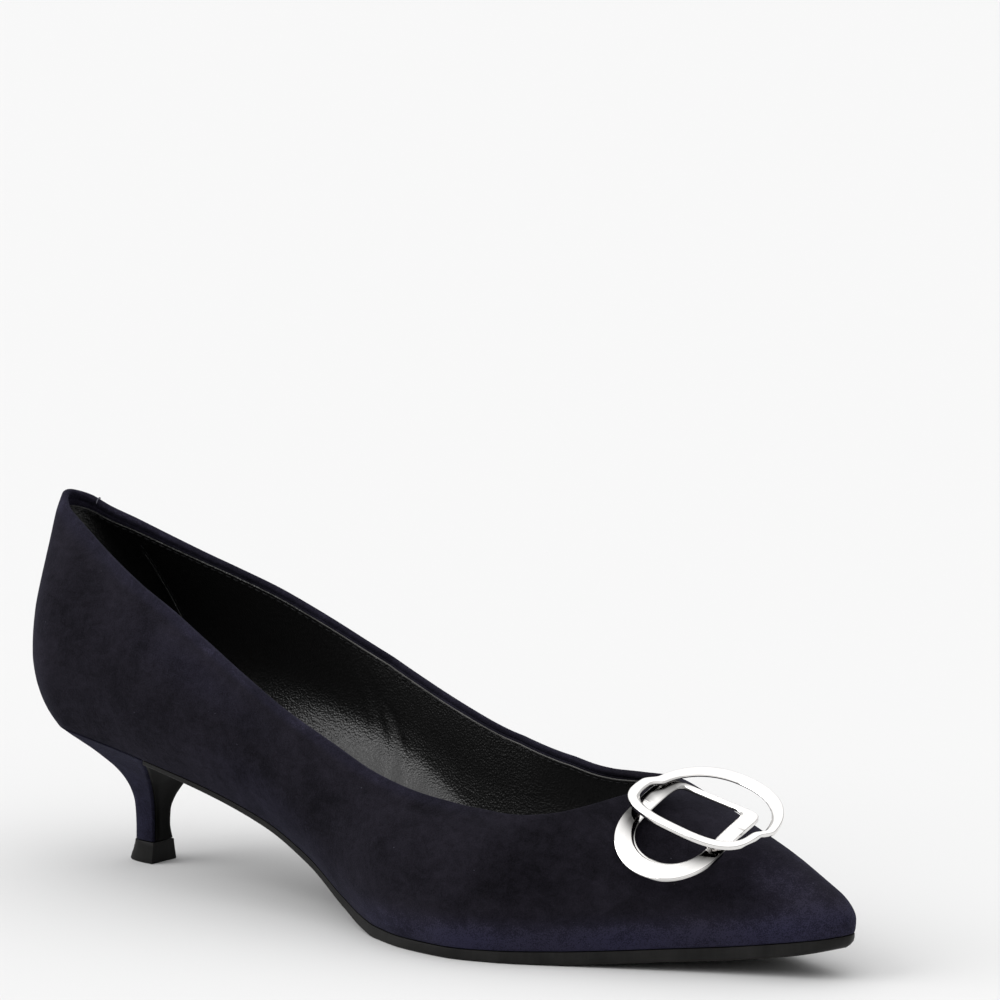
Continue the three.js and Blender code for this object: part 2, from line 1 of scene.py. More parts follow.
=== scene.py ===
"""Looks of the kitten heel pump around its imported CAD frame.

Shapes are worked out in millimetres in the shoe's own frame (heel at x = 0, middle of the heel at
y = 0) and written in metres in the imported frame.
"""

import math

import bmesh
import bpy
import numpy as np
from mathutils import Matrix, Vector
from mathutils.bvhtree import BVHTree


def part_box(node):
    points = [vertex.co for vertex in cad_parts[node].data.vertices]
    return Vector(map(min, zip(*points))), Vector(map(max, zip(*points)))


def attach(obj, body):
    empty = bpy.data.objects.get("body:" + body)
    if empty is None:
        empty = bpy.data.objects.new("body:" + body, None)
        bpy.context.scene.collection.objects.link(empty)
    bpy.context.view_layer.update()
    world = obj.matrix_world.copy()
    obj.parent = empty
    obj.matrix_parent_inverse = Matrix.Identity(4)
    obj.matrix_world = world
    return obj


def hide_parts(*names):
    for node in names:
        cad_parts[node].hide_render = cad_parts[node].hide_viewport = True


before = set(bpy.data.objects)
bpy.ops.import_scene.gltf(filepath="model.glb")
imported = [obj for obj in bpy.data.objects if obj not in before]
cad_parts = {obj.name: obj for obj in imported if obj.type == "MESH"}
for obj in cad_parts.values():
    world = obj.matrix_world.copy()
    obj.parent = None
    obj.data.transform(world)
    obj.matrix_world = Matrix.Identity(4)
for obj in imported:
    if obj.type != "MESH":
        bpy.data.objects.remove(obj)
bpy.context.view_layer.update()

# Driving sizes in millimetres, as in the CAD source
LENGTH = 253.0
BALL_WIDTH = 72.0
SEAT_HEIGHT = 36.8
BELLY_HEIGHT = 18.1
COLLAR_HEIGHT = 95.2
COLLAR_HALF_WIDTH = 30.0
THROAT_HEIGHT = 39.2
BACK_LEAN = 13.0
DOME_SKEW = 3.2
TOE_SWING = 4.0
WALL = 1.8
GAP = 0.3
SOLE_THICKNESS = 3.0
SOLE_BEVEL = 0.6
INSOLE_THICKNESS = 2.0
HEEL_FRONT = 41.0
HEEL_SETBACK = 0.4
LIFT_HEIGHT = 5.5
LIFT_HALF_WIDTH = 4.8
LIFT_DEPTH = 10.3
BREAST_COVER_THICKNESS = 0.9
FOLD_EDGE = 0.9
RING_LENGTH = 36.4
RING_THICKNESS = 1.1

# Places along the foot, as shares of LENGTH
HEEL_ROUND = 0.083
COLLAR_ROUND = 0.04
BREAST = 0.2
COLLAR_SIDE = 0.62
THROAT = 0.779
TOE_ROUND = 0.026
OUTER_THROAT_START = 0.68
INNER_THROAT_START = 0.64

AT_THROAT = THROAT - 1e-9

LAST = dict(columns="at outer inner feather outer_swell inner_swell belly power".split(), rows=[
    [0.0, 0.271, 0.285, 1.0, 0.05, 0.05, 0.95, 2.0],
    [0.06, 0.28, 0.291, 0.992, 0.054, 0.054, 0.978, 2.0],
    [0.14, 0.289, 0.296, 0.935, 0.064, 0.065, 1.0, 2.05],
    [0.22, 0.292, 0.285, 0.844, 0.079, 0.092, 1.0, 2.07],
    [0.3, 0.289, 0.25, 0.728, 0.097, 0.132, 0.978, 2.1],
    [0.37, 0.292, 0.225, 0.587, 0.099, 0.158, 0.956, 2.1],
    [0.43, 0.314, 0.223, 0.408, 0.096, 0.165, 0.906, 2.15],
    [0.49, 0.366, 0.258, 0.189, 0.075, 0.132, 0.79, 2.2],
    [0.52, 0.41, 0.29, 0.122, 0.065, 0.111, 0.735, 2.2],
    [0.55, 0.458, 0.333, 0.092, 0.056, 0.09, 0.685, 2.2],
    [0.6, 0.514, 0.403, 0.083, 0.044, 0.057, 0.608, 2.25],
    [0.65, 0.528, 0.453, 0.082, 0.039, 0.042, 0.558, 2.35],
    [0.7, 0.486, 0.471, 0.087, 0.035, 0.033, 0.519, 2.45],
    [0.75, 0.407, 0.447, 0.1, 0.031, 0.028, 0.464, 2.4],
    [0.8, 0.326, 0.382, 0.125, 0.026, 0.024, 0.398, 2.3],
    [0.85, 0.249, 0.299, 0.158, 0.022, 0.021, 0.331, 2.1],
    [0.9, 0.179, 0.213, 0.192, 0.018, 0.018, 0.26, 2.0],
    [0.95, 0.118, 0.135, 0.239, 0.015, 0.014, 0.199, 2.0],
    [1.0, 0.072, 0.081, 0.2985, 0.011, 0.011, 0.144, 2.0],
])
COLLAR = dict(columns="at height half".split(), rows=[
    [0.0, 1.0, 0.183],
    [0.02, 0.983, 0.213],
    [0.04, 0.96, 0.247],
    [0.08, 0.922, 0.347],
    [0.12, 0.88, 0.45],
    [0.16, 0.839, 0.547],
    [0.2, 0.8, 0.64],
    [0.25, 0.752, 0.727],
    [0.3, 0.693, 0.807],
    [0.36, 0.616, 0.89],
    [0.42, 0.543, 0.953],
    [0.48, 0.479, 0.972],
    [0.54, 0.421, 0.995],
    [0.6, 0.387, 1.0],
    [0.66, 0.372, 0.995],
    [0.72, 0.374, 0.995],
    [0.779, 0.412, 0.995],
])
RIDGE = dict(columns="at outer inner skew".split(), rows=[
    [0.55, 1.276, 1.378, 0.09],
    [0.62, 1.145, 1.25, 0.25],
    [0.66, 1.082, 1.189, 0.44],
    [0.7, 1.102, 1.102, 0.66],
    [0.72, 1.102, 1.077, 0.75],
    [0.743, 1.077, 1.051, 0.84],
    [0.765, 1.031, 1.026, 0.94],
    [0.779, 1.0, 1.0, 0.97],
    [0.8, 0.964, 0.964, 1.0],
    [0.85, 0.867, 0.867, 0.97],
    [0.9, 0.76, 0.76, 0.75],
    [0.93, 0.681, 0.681, 0.56],
    [0.96, 0.584, 0.584, 0.28],
    [0.98, 0.508, 0.508, 0.12],
    [1.0, 0.423, 0.423, 0.0],
])
BACK = dict(columns="at forward".split(), rows=[
    [0, 1.0],
    [0.035, 0.862],
    [0.085, 0.712],
    [0.13, 0.612],
    [0.2, 0.508],
    [0.31, 0.438],
    [0.5, 0.431],
    [0.63, 0.462],
    [0.8, 0.504],
    [0.91, 0.528],
    [1.0, 0.623],
])
SHANK = dict(columns="at swing thick".split(), rows=[
    [0.0, 0.0, 0.4],
    [0.2, 0.0, 0.4],
    [0.3, 0.0, 0.5],
    [0.45, 0.0, 0.72],
    [0.56, 0.0, 1.1],
    [0.69, 0.05, 1.1],
    [0.8, 0.25, 1.05],
    [0.9, 0.55, 1.08],
    [1.0, 1.0, 1.12],
])
HEEL = dict(columns="at side back".split(), rows=[
    [0.0, 0.0, 0.0],
    [0.15, -0.03, 0.005],
    [0.3, -0.02, 0.02],
    [0.42, 0.035, 0.07],
    [0.52, 0.12, 0.15],
    [0.62, 0.23, 0.28],
    [0.72, 0.39, 0.46],
    [0.8, 0.53, 0.62],
    [0.88, 0.7, 0.79],
    [0.94, 0.84, 0.91],
    [1.0, 1.0, 1.0],
])
HEEL_FOOT_WIDTH = 0.82
HEEL_FOOT_DEPTH = 0.78

RINGS = {
    "ornament_lower_ring": dict(
        at=0.8465, across=-0.196, slope=0.7, tilt=32, bend=36, long=0.395, far=0.43, near=0.385, shift=0,
        round_far=12, round_near=2.1, band_far=0.036, band_side=0.13, band_near=0.137, feet=(228, 300),
    ),
    "ornament_upper_ring": dict(
        at=0.855, across=-0.104, slope=0.85, tilt=17, bend=0, long=0.485, far=0.5, near=0.31, shift=0.055,
        round_far=2.2, round_near=3.0, band_far=0.09, band_side=0.068, band_near=0.08, feet=(201, 297),
    ),
}

OUTER, INNER = -1.0, 1.0


# Curves and the last's shape

def curve(table, name):
    """Smooth curve through one column of a table, without overshoot between rows."""
    column = table["columns"].index(name)
    x = np.array([row[0] for row in table["rows"]], float)
    y = np.array([row[column] for row in table["rows"]], float)
    step = np.diff(x)
    slope = np.diff(y) / step
    tangent = np.zeros_like(y)
    for i in range(1, len(x) - 1):
        if slope[i - 1] * slope[i] > 0:
            a, b = 2 * step[i] + step[i - 1], step[i] + 2 * step[i - 1]
            tangent[i] = (a + b) / (a / slope[i - 1] + b / slope[i])
    tangent[0], tangent[-1] = slope[0], slope[-1]

    def value(at):
        place = np.clip(np.asarray(at, float), x[0], x[-1])
        i = np.clip(np.searchsorted(x, place, side="right") - 1, 0, len(x) - 2)
        t = (place - x[i]) / step[i]
        u = 1 - t
        first = (1 + 2 * t) * u * u * y[i] + t * u * u * step[i] * tangent[i]
        return first + t * t * (3 - 2 * t) * y[i + 1] - t * t * u * step[i] * tangent[i + 1]

    return value


def curves(table):
    return {name: curve(table, name) for name in table["columns"][1:]}


last, collar, ridge, back, shank, heel_shape = map(curves, (LAST, COLLAR, RIDGE, BACK, SHANK, HEEL))


def smooth(start, end, at):
    t = np.clip((at - start) / (end - start), 0, 1)
    return t * t * (3 - 2 * t)


def mix(a, b, t):
    return a * (1 - t) + b * t


def bell(*parts):
    """A bell over one or more (values, middle, width)."""
    return np.exp(-sum(((value - middle) / width) ** 2 for value, middle, width in parts))


def quarter_round(t):
    return np.sqrt(np.maximum(1 - t * t, 0))


def toe_round(at):
    return quarter_round(np.clip((at - 1 + TOE_ROUND) / TOE_ROUND, 0, 1))


def openness(at):
    return quarter_round(np.clip(1 - at / HEEL_ROUND, 0, 1)) * toe_round(at)


def middle_line(at):
    return shank["swing"](at) * TOE_SWING


def dome_measures(at, side):
    """Widest half width, bulge height, crown height, power and half opening of a section."""
    outer = side < 0
    opened = openness(at)
    foot = np.where(outer, last["outer"](at), last["inner"](at)) * BALL_WIDTH * opened
    swell = np.where(outer, last["outer_swell"](at), last["inner_swell"](at)) * BALL_WIDTH * opened
    feather = last["feather"](at) * SEAT_HEIGHT
    widest = foot + swell
    bulge = feather + last["belly"](at) * BELLY_HEIGHT
    power = last["power"](at)
    rounded = quarter_round(np.clip(1 - at / COLLAR_ROUND, 0, 1))
    start = np.where(outer, OUTER_THROAT_START, INNER_THROAT_START)
    closed = quarter_round(np.clip((at - start) / (THROAT - start), 0, 1))
    half = np.minimum(collar["half"](at) * COLLAR_HALF_WIDTH * rounded * closed, widest * 0.995)
    top = np.where(at >= AT_THROAT, 0, half)
    collar_top = collar["height"](at) * COLLAR_HEIGHT
    one_ridge = outer | (at >= AT_THROAT)
    crown = np.where(one_ridge, ridge["outer"](at), ridge["inner"](at)) * THROAT_HEIGHT
    share = np.maximum(1 - (top / np.maximum(widest, 1e-6)) ** power, 1e-4)
    through = bulge + (collar_top - bulge) / share ** (1 / power)
    crown = np.where(at < 0.7, mix(through, crown, smooth(0.6, 0.7, at)), crown)
    nose = mix(bulge, crown, 0.25)
    crown = np.where(at > 1 - TOE_ROUND, mix(nose, crown, toe_round(at)), crown)
    return foot, swell, feather, widest, bulge, power, top, collar_top, crown


def last_point(at, side, v):
    """Points of the last's outside. v runs 0 to 1 to the bulge and 1 to 2 to the collar or ridge."""
    at, side, v = np.broadcast_arrays(*(np.asarray(value, float) for value in (at, side, v)))
    foot, swell, feather, widest, bulge, power, top, collar_top, crown = dome_measures(at, side)
    low_y = foot + swell * (1 - (1 - v) ** 2)
    low_z = mix(feather, bulge, v)
    opening = (top / np.maximum(widest, 1e-9)) ** power
    edge = np.where(top > 0, np.maximum(1 - opening, 0) ** (1 / power), 1)
    t = np.clip(v - 1, 0, None)
    angle = np.arcsin(np.minimum(edge ** (power / 2), 1)) * t
    rise = np.sin(angle) ** (2 / power)
    lean = side * ridge["skew"](at) * DOME_SKEW * rise ** 1.5
    dome_y = widest * np.maximum(np.cos(angle), 0) ** (2 / power) + lean
    wall_y = mix(widest, top, t ** 1.8)
    domed = smooth(0.38, 0.64, at)
    high_y = mix(wall_y, dome_y, domed)
    high_z = mix(mix(bulge, collar_top, t), mix(bulge, crown, rise), domed)
    y = np.where(v <= 1, low_y, high_y)
    z = np.where(v <= 1, low_z, high_z)
    forward = back["forward"]((z - feather) / (COLLAR_HEIGHT - SEAT_HEIGHT)) * BACK_LEAN
    x = LENGTH * at + forward * np.maximum(1 - at / 0.3, 0) ** 2
    return np.stack([x, side * y + middle_line(at), z], -1)


# From the shoe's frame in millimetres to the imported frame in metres

lift_low, lift_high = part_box("top_lift")
TO_PACKED = np.array([lift_high.x * 1000 - HEEL_FRONT, (lift_low.y + lift_high.y) * 500, 0.0])


def packed(points):
    return (np.asarray(points, float) + TO_PACKED) / 1000


def unit(vectors):
    return vectors / np.maximum(np.linalg.norm(vectors, axis=-1, keepdims=True), 1e-12)


def add_object(name, data):
    thing = bpy.data.objects.new(name, data)
    bpy.context.scene.collection.objects.link(thing)
    return thing


def make_piece(name, vertices, faces, material, replaces=(), smooth_angle=50, tone_and_painted_light=None):
    """A piece from points in the shoe's frame. Points that coincide are joined."""
    mesh = bpy.data.meshes.new(name)
    mesh.from_pydata([tuple(p) for p in packed(vertices)], [], [tuple(f) for f in faces])
    if tone_and_painted_light is not None:
        layer = mesh.attributes.new("tone_and_painted_light", "FLOAT_COLOR", "POINT")
        layer.data.foreach_set("color", np.asarray(tone_and_painted_light, np.float32).ravel())
    tidy_mesh(mesh)
    mesh.materials.append(material)
    piece = add_object(name, mesh)
    mesh.shade_smooth()
    if smooth_angle:
        mesh.set_sharp_from_angle(angle=math.radians(smooth_angle))
    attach(piece, "root")
    if replaces:
        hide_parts(*replaces)
    return piece


def tidy_mesh(mesh):
    """Joins points that coincide, drops empty faces and turns all faces outwards."""
    work = bmesh.new()
    work.from_mesh(mesh)
    bmesh.ops.remove_doubles(work, verts=work.verts, dist=2e-5)
    bmesh.ops.dissolve_degenerate(work, edges=work.edges, dist=1e-6)
    bmesh.ops.recalc_face_normals(work, faces=work.faces)
    work.to_mesh(mesh)
    work.free()


def grid_faces(columns, rows, first=0, loop=False, flip=False):
    """Faces over a grid of points stored column by column."""
    faces = []
    for j in range(columns if loop else columns - 1):
        here, there = first + j * rows, first + (j + 1) % columns * rows
        for k in range(rows - 1):
            face = [here + k, there + k, there + k + 1, here + k + 1]
            faces.append(face[::-1] if flip else face)
    return faces


def tube_faces(base, levels, around):
    """Faces of a closed tube whose points are stored ring by ring."""
    faces = []
    for low in range(base, base + (levels - 1) * around, around):
        high = low + around
        for k in range(around):
            n = (k + 1) % around
            faces.append([low + k, low + n, high + n, high + k])
    faces.append([base + k for k in range(around)][::-1])
    faces.append([base + (levels - 1) * around + k for k in range(around)])
    return faces


def cap_faces(count, first=0):
    """Strips across the end of a ring whose two halves mirror each other."""
    half = count // 2
    end = first + count - 1
    return [[first + k, first + k + 1, end - 1 - k, end - k] for k in range(half - 1)]


def rings_piece(name, rings, material, replaces=(), caps=True, loop=False, smooth_angle=50, tone_and_painted_light=None):
    """A body through rings of points, each ring closed."""
    rings = np.asarray(rings, float)
    count, around = rings.shape[:2]
    faces = []
    for i in range(count if loop else count - 1):
        n = (i + 1) % count
        for k in range(around):
            m = (k + 1) % around
            faces.append([i * around + k, i * around + m, n * around + m, n * around + k])
    if caps and not loop:
        faces += [face[::-1] for face in cap_faces(around)]
        faces += cap_faces(around, (count - 1) * around)
    return make_piece(name, rings.reshape(-1, 3), faces, material, replaces, smooth_angle, tone_and_painted_light)


# Materials

def new_material(name, color, roughness, metallic=0.0):
    material = bpy.data.materials.new(name)
    material.use_nodes = True
    nodes = Nodes(material.node_tree)
    shader = material.node_tree.nodes["Principled BSDF"]
    nodes.feed(shader, {"Base Color": color, "Roughness": roughness, "Metallic": metallic})
    return material, nodes, shader


# The Mix node's sockets for colours
MIX_FACTOR, MIX_A, MIX_B, MIX_RESULT = 0, 6, 7, 2


class Nodes:
    """Short ways to add the few kinds of node that the materials use."""

    def __init__(self, tree):
        self.tree = tree
        self.place = tree.nodes.new("ShaderNodeTexCoord").outputs["Object"]

    def feed(self, node, values):
        """Sets a node's sockets to numbers or colours, or links them to other nodes' sockets."""
        for name, value in values.items():
            socket = node.inputs[name]
            if isinstance(value, bpy.types.NodeSocket):
                self.tree.links.new(value, socket)
            else:
                socket.default_value = (*value, 1) if socket.type == "RGBA" else value

    def new(self, kind, values):
        node = self.tree.nodes.new("ShaderNode" + kind)
        self.feed(node, values)
        return node

    def noise(self, scale, detail=3.0, roughness=0.5, distortion=0.0, vector=None):
        values = {"Scale": scale, "Detail": detail, "Roughness": roughness, "Distortion": distortion}
        return self.new("TexNoise", {**values, "Vector": vector or self.place}).outputs["Fac"]

    def voronoi(self, scale, feature="F1", **more):
        """A node shows some sockets only in its mode, so the mode is set before them."""
        node = self.new("TexVoronoi", {})
        node.feature = feature
        self.feed(node, {"Scale": scale, "Vector": self.place, **more})
        return node.outputs["Distance"]

    def stretched(self, scale):
        return self.new("Mapping", {"Scale": scale, "Vector": self.place}).outputs["Vector"]

    def ramp(self, value, stops):
        node = self.new("ValToRGB", {"Fac": value})
        elements = node.color_ramp.elements
        while len(elements) < len(stops):
            elements.new(0.5)
        for element, (position, color) in zip(elements, stops):
            element.position = position
            element.color = (*color, 1)
        return node.outputs["Color"]

    def range(self, value, low, high, to_low=0.0, to_high=1.0):
        numbers = {"From Min": low, "From Max": high, "To Min": to_low, "To Max": to_high}
        return self.new("MapRange", {**numbers, "Value": value}).outputs["Result"]

    def math(self, operation, a, b):
        node = self.new("Math", {0: a, 1: b})
        node.operation = operation
        return node.outputs["Value"]

    def add(self, value, *others):
        for other in others:
            value = self.math("ADD", value, other)
        return value

    def tone_and_painted_light(self):
        """The colour attribute that a piece carries: tones by position, partly painted light and shade."""
        node = self.new("Attribute", {})
        node.attribute_name = "tone_and_painted_light"
        return node.outputs["Color"]

    def mix_color(self, factor, a, b, blend="MIX"):
        node = self.new("Mix", {})
        node.data_type = "RGBA"
        node.blend_type = blend
        self.feed(node, {MIX_FACTOR: factor, MIX_A: a, MIX_B: b})
        return node.outputs[MIX_RESULT]

    def bump(self, height, strength, distance, under=None):
        values = {"Strength": strength, "Distance": distance, "Height": height}
        if under is not None:
            values["Normal"] = under
        return self.new("Bump", values).outputs["Normal"]


def suede_material(name, dark, light, sheen):
    """Napped suede: brushed light and dark zones, a mottle, fine fibres and a few pale specks, with lighter,
    darker and bluer zones from the piece's colour attribute, partly painted light and shade.
    """
    material, nodes, shader = new_material(name, dark, 0.95)
    zones = nodes.noise(38, 4, 0.55, 0.6)
    mottle = nodes.noise(330, 5, 0.62, 0.9)
    streaks = nodes.noise(240, 3, 0.6, 1.2, nodes.stretched((0.45, 1.0, 1.3)))
    fibre = nodes.noise(3300, 2, 0.7)
    grain = nodes.noise(950, 3, 0.75)
    # Red of the colour attribute lightens or darkens and green makes bluer, partly as painted light and
    # shade.
    channels = nodes.new("SeparateColor", {"Color": nodes.tone_and_painted_light()}).outputs
    lift, blue = channels["Red"], channels["Green"]
    fibres = nodes.range(fibre, 0.3, 0.72, -0.24, 0.34)
    tone = nodes.add(
        nodes.range(zones, 0.36, 0.66, 0.0, 0.42),
        nodes.range(mottle, 0.35, 0.68, 0.0, 0.3),
        nodes.range(streaks, 0.35, 0.7, 0.0, 0.18),
        nodes.math("MULTIPLY", fibres, nodes.range(blue, 0.0, 1.0, 0.8, 1.9)),
        nodes.range(lift, 0.0, 1.0, -0.5, 0.5),
    )
    color = nodes.ramp(tone, [(0.0, dark), (1.0, light), (1.35, tuple(c * 1.5 for c in light))])
    bluer = nodes.mix_color(1.0, color, (0.94, 1.0, 1.42), "MULTIPLY")
    color = nodes.mix_color(blue, color, bluer)
    specks = nodes.range(nodes.voronoi(420), 0.03, 0.055, 0.55, 0.0)
    rare = nodes.range(nodes.noise(160, 2, 0.5), 0.56, 0.62, 0.0, 1.0)
    pale = nodes.math("MULTIPLY", specks, rare)
    color = nodes.mix_color(pale, color, (0.16, 0.16, 0.21))
    height = nodes.add(grain, nodes.math("MULTIPLY", fibre, 0.8))
    nodes.feed(shader, {
        "Base Color": color,
        "Normal": nodes.bump(height, 0.55, 0.00028, nodes.bump(zones, 0.25, 0.0012)),
        "Specular IOR Level": 0.04,
        "Sheen Weight": sheen,
        "Sheen Roughness": 0.45,
        "Sheen Tint": (0.55, 0.56, 0.85),
    })
    return material


def grained_leather(name, color, roughness, cell, depth, specular):
    """Pebbled leather with pores and faint creases."""
    material, nodes, shader = new_material(name, color, roughness)
    pebbles = nodes.voronoi(cell, "SMOOTH_F1", Smoothness=0.35)
    fine = nodes.noise(cell * 2.6, 3, 0.6)
    wander = nodes.noise(45, 3, 0.5)
    parts = ((pebbles, 1.2), (fine, 0.35), (wander, 0.6))
    height = nodes.add(*(nodes.math("MULTIPLY", part, share) for part, share in parts))
    lighter = tuple(min(c * 2.1 + 0.002, 1) for c in color)
    mottle = nodes.add(fine, nodes.math("MULTIPLY", wander, 0.5))
    nodes.feed(shader, {
        "Base Color": nodes.ramp(mottle, [(0.45, color), (0.95, lighter)]),
        "Roughness": nodes.range(fine, 0.3, 0.7, roughness - 0.06, roughness + 0.12),
        "Normal": nodes.bump(height, 0.6, depth),
        "Specular IOR Level": specular,
    })
    return material


def satin_material(name, color, roughness, specular):
    """Smooth dark covering with a faint brushed unevenness."""
    material, nodes, shader = new_material(name, color, roughness)
    brushed = nodes.noise(900, 3, 0.6, 0.3, nodes.stretched((1.0, 1.0, 0.15)))
    cloud = nodes.noise(120, 3, 0.5)
    lighter = tuple(c * 1.9 + 0.003 for c in color)
    grain = nodes.add(nodes.math("MULTIPLY", brushed, 0.3), nodes.math("MULTIPLY", cloud, 0.7))
    nodes.feed(shader, {
        "Base Color": nodes.ramp(grain, [(0.4, color), (0.72, lighter)]),
        "Roughness": nodes.range(cloud, 0.3, 0.7, roughness - 0.08, roughness + 0.1),
        "Normal": nodes.bump(brushed, 0.3, 0.00005),
        "Specular IOR Level": specular,
    })
    return material


def chrome_material(name, color):
    """Polished plated metal with the faintest unevenness, its colour darkened by painted shade and
    reflection where one ring mirrors the other.
    """
    material, nodes, shader = new_material(name, color, 0.05, 1.0)
    hair = nodes.noise(2200, 2, 0.6, 0.0, nodes.stretched((1.0, 0.25, 1.0)))
    nodes.feed(shader, {
        "Base Color": nodes.mix_color(1.0, nodes.tone_and_painted_light(), color, "MULTIPLY"),
        "Roughness": nodes.range(hair, 0.35, 0.75, 0.03, 0.1),
        "Normal": nodes.bump(nodes.noise(260, 2, 0.5), 0.12, 0.00012),
    })
    return material


SUEDE = suede_material(
    "suede", dark=(0.0035, 0.0032, 0.0044), light=(0.0190, 0.0171, 0.0243), sheen=0.05
)
HEEL_SUEDE = suede_material(
    "heel_suede", dark=(0.0052, 0.0048, 0.0072), light=(0.0235, 0.0220, 0.0330), sheen=0.05
)
LINING = grained_leather(
    "lining_leather", (0.0006, 0.0006, 0.0006), roughness=0.33, cell=1900, depth=0.00018, specular=0.72
)
SOCK = grained_leather(
    "sock_leather", (0.0030, 0.0030, 0.0032), roughness=0.38, cell=1900, depth=0.00016, specular=0.8
)
# Painted highlight: the pale grey stands in for light caught along the lining's cut edge.
CUT_EDGE_HIGHLIGHT = satin_material("cut_edge_painted_highlight", (0.075, 0.073, 0.070), roughness=0.45, specular=0.3)
SOLE_EDGE = satin_material("sole_edge", (0.0085, 0.0083, 0.0080), roughness=0.5, specular=0.14)
BREAST_SATIN = satin_material("breast", (0.0013, 0.0013, 0.0012), roughness=0.42, specular=0.04)
LIFT = satin_material("lift", (0.0060, 0.0058, 0.0056), roughness=0.45, specular=0.1)
CHROME = chrome_material("chrome", (0.82, 0.805, 0.79))
THREAD = satin_material("thread", (0.010, 0.010, 0.011), roughness=0.6, specular=0.1)
PALE_THREAD = satin_material("seam_thread", (0.09, 0.09, 0.11), roughness=0.7, specular=0.1)


# The upper: outside suede, rolled topline and lining

def places_along(counts):
    heel, quarter, throat, vamp, toe = counts
    quarter_turn = math.pi / 2
    parts = [
        HEEL_ROUND * (1 - np.cos(np.linspace(0, quarter_turn, heel))),
        np.linspace(HEEL_ROUND, COLLAR_SIDE, quarter)[1:],
        mix(COLLAR_SIDE, THROAT, np.sin(np.linspace(0, quarter_turn, throat)))[1:],
        np.linspace(THROAT, 1 - TOE_ROUND, vamp)[1:],
        mix(1 - TOE_ROUND, 1, np.sin(np.linspace(0, quarter_turn, toe)))[1:],
    ]
    return np.concatenate(parts)


WAVE_HEIGHT = 0.10
ROLL_RISE = 0.55
PLACES = places_along((24, 96, 40, 56, 20))
ROWS = np.concatenate([np.linspace(0, 1, 15), 1 + np.linspace(0, 1, 35)[1:]])
AT = np.concatenate([PLACES[::-1], PLACES[1:-1]])
SIDE = np.concatenate([np.full(len(PLACES), OUTER), np.full(len(PLACES) - 2, INNER)])
COLUMNS = len(AT)
MIRRORED = (2 * (len(PLACES) - 1) - np.arange(COLUMNS)) % COLUMNS
CLOSED = AT >= AT_THROAT


def soft_waves(points):
    """Slow hand-felt unevenness of the leather over the last, in millimetres."""
    x, y, z = points[..., 0], points[..., 1], points[..., 2]
    wave = np.sin(x / 13.0 + z / 9.0 + 0.6) * np.sin(z / 11.0 - y / 17.0 + 1.1)
    wave += 0.6 * np.sin(x / 7.3 - z / 6.1 + 2.0) * np.sin(y / 9.0 + x / 21.0)
    return wave


def outside_surface():
    points = last_point(AT[:, None], SIDE[:, None], ROWS[None, :])
    along = np.roll(points, -1, 0) - np.roll(points, 1, 0)
    up = np.empty_like(points)
    up[:, 1:-1] = points[:, 2:] - points[:, :-2]
    up[:, 0] = points[:, 1] - points[:, 0]
    up[:, -1] = points[:, -1] - points[:, -2]
    up[CLOSED, -1] = points[MIRRORED[CLOSED], -2] - points[CLOSED, -2]
    normals = unit(-np.cross(along, up))
    shared = unit(normals[:, -1] + normals[MIRRORED, -1])
    normals[CLOSED, -1] = shared[CLOSED]
    calm = smooth(0.0, 0.25, ROWS) * (1 - 0.6 * smooth(1.6, 2.0, ROWS))
    points = points + normals * (soft_waves(points) * WAVE_HEIGHT * calm[None, :])[..., None]
    points[CLOSED, -1] = (points[CLOSED, -1] + points[MIRRORED[CLOSED], -1]) / 2
    return points, normals


OUTSIDE, NORMALS = outside_surface()


def topline_loop():
    """Column numbers of the collar's edge, once round from the throat along the outer side."""
    first = len(PLACES) - 1 - int(np.argmin(abs(PLACES - THROAT)))
    last_column = MIRRORED[first]
    return np.arange(first, last_column)


EDGE = topline_loop()


def edge_frame():
    """Point, outward normal and upward direction along the collar's edge."""
    points = OUTSIDE[EDGE, -1]
    normals = NORMALS[EDGE, -1]
    run = np.roll(points, -1, 0) - np.roll(points, 1, 0)
    up = unit(np.cross(run, normals))
    wanted = OUTSIDE[EDGE, -1] - OUTSIDE[EDGE, -3]
    sign = np.sign((up * wanted).sum(-1, keepdims=True))
    up = up * np.where(sign == 0, 1, sign)
    up[0] = unit(up[1] + up[-1])
    return points, unit(normals), up


def roll_rows(points, normals, up):
    """The suede's rolled edge, from the outside over the top to the inside."""
    rows = []
    for angle in np.linspace(0, math.pi, 11):
        across = normals * (math.cos(angle) - 1) * WALL / 2
        rows.append(points + across + up * ROLL_RISE * math.sin(angle))
    return rows


def band_depth(at):
    """How far the suede shows inside the collar, from the back to the throat."""
    return mix(3.6, 1.5, smooth(0.02, 0.2, at)) * (1 - smooth(0.66, 0.77, at))


def walk_down(column, depths, offset):
    """Points at given depths below the collar's edge, moved inwards by an offset."""
    points = OUTSIDE[column] - NORMALS[column] * offset
    steps = np.linalg.norm(np.diff(OUTSIDE[column], axis=0), axis=1)[::-1]
    walked = np.concatenate([[0], np.cumsum(steps)])
    down = points[::-1]
    return np.stack([np.interp(depths, walked, down[:, k]) for k in range(3)], -1), walked[-1]


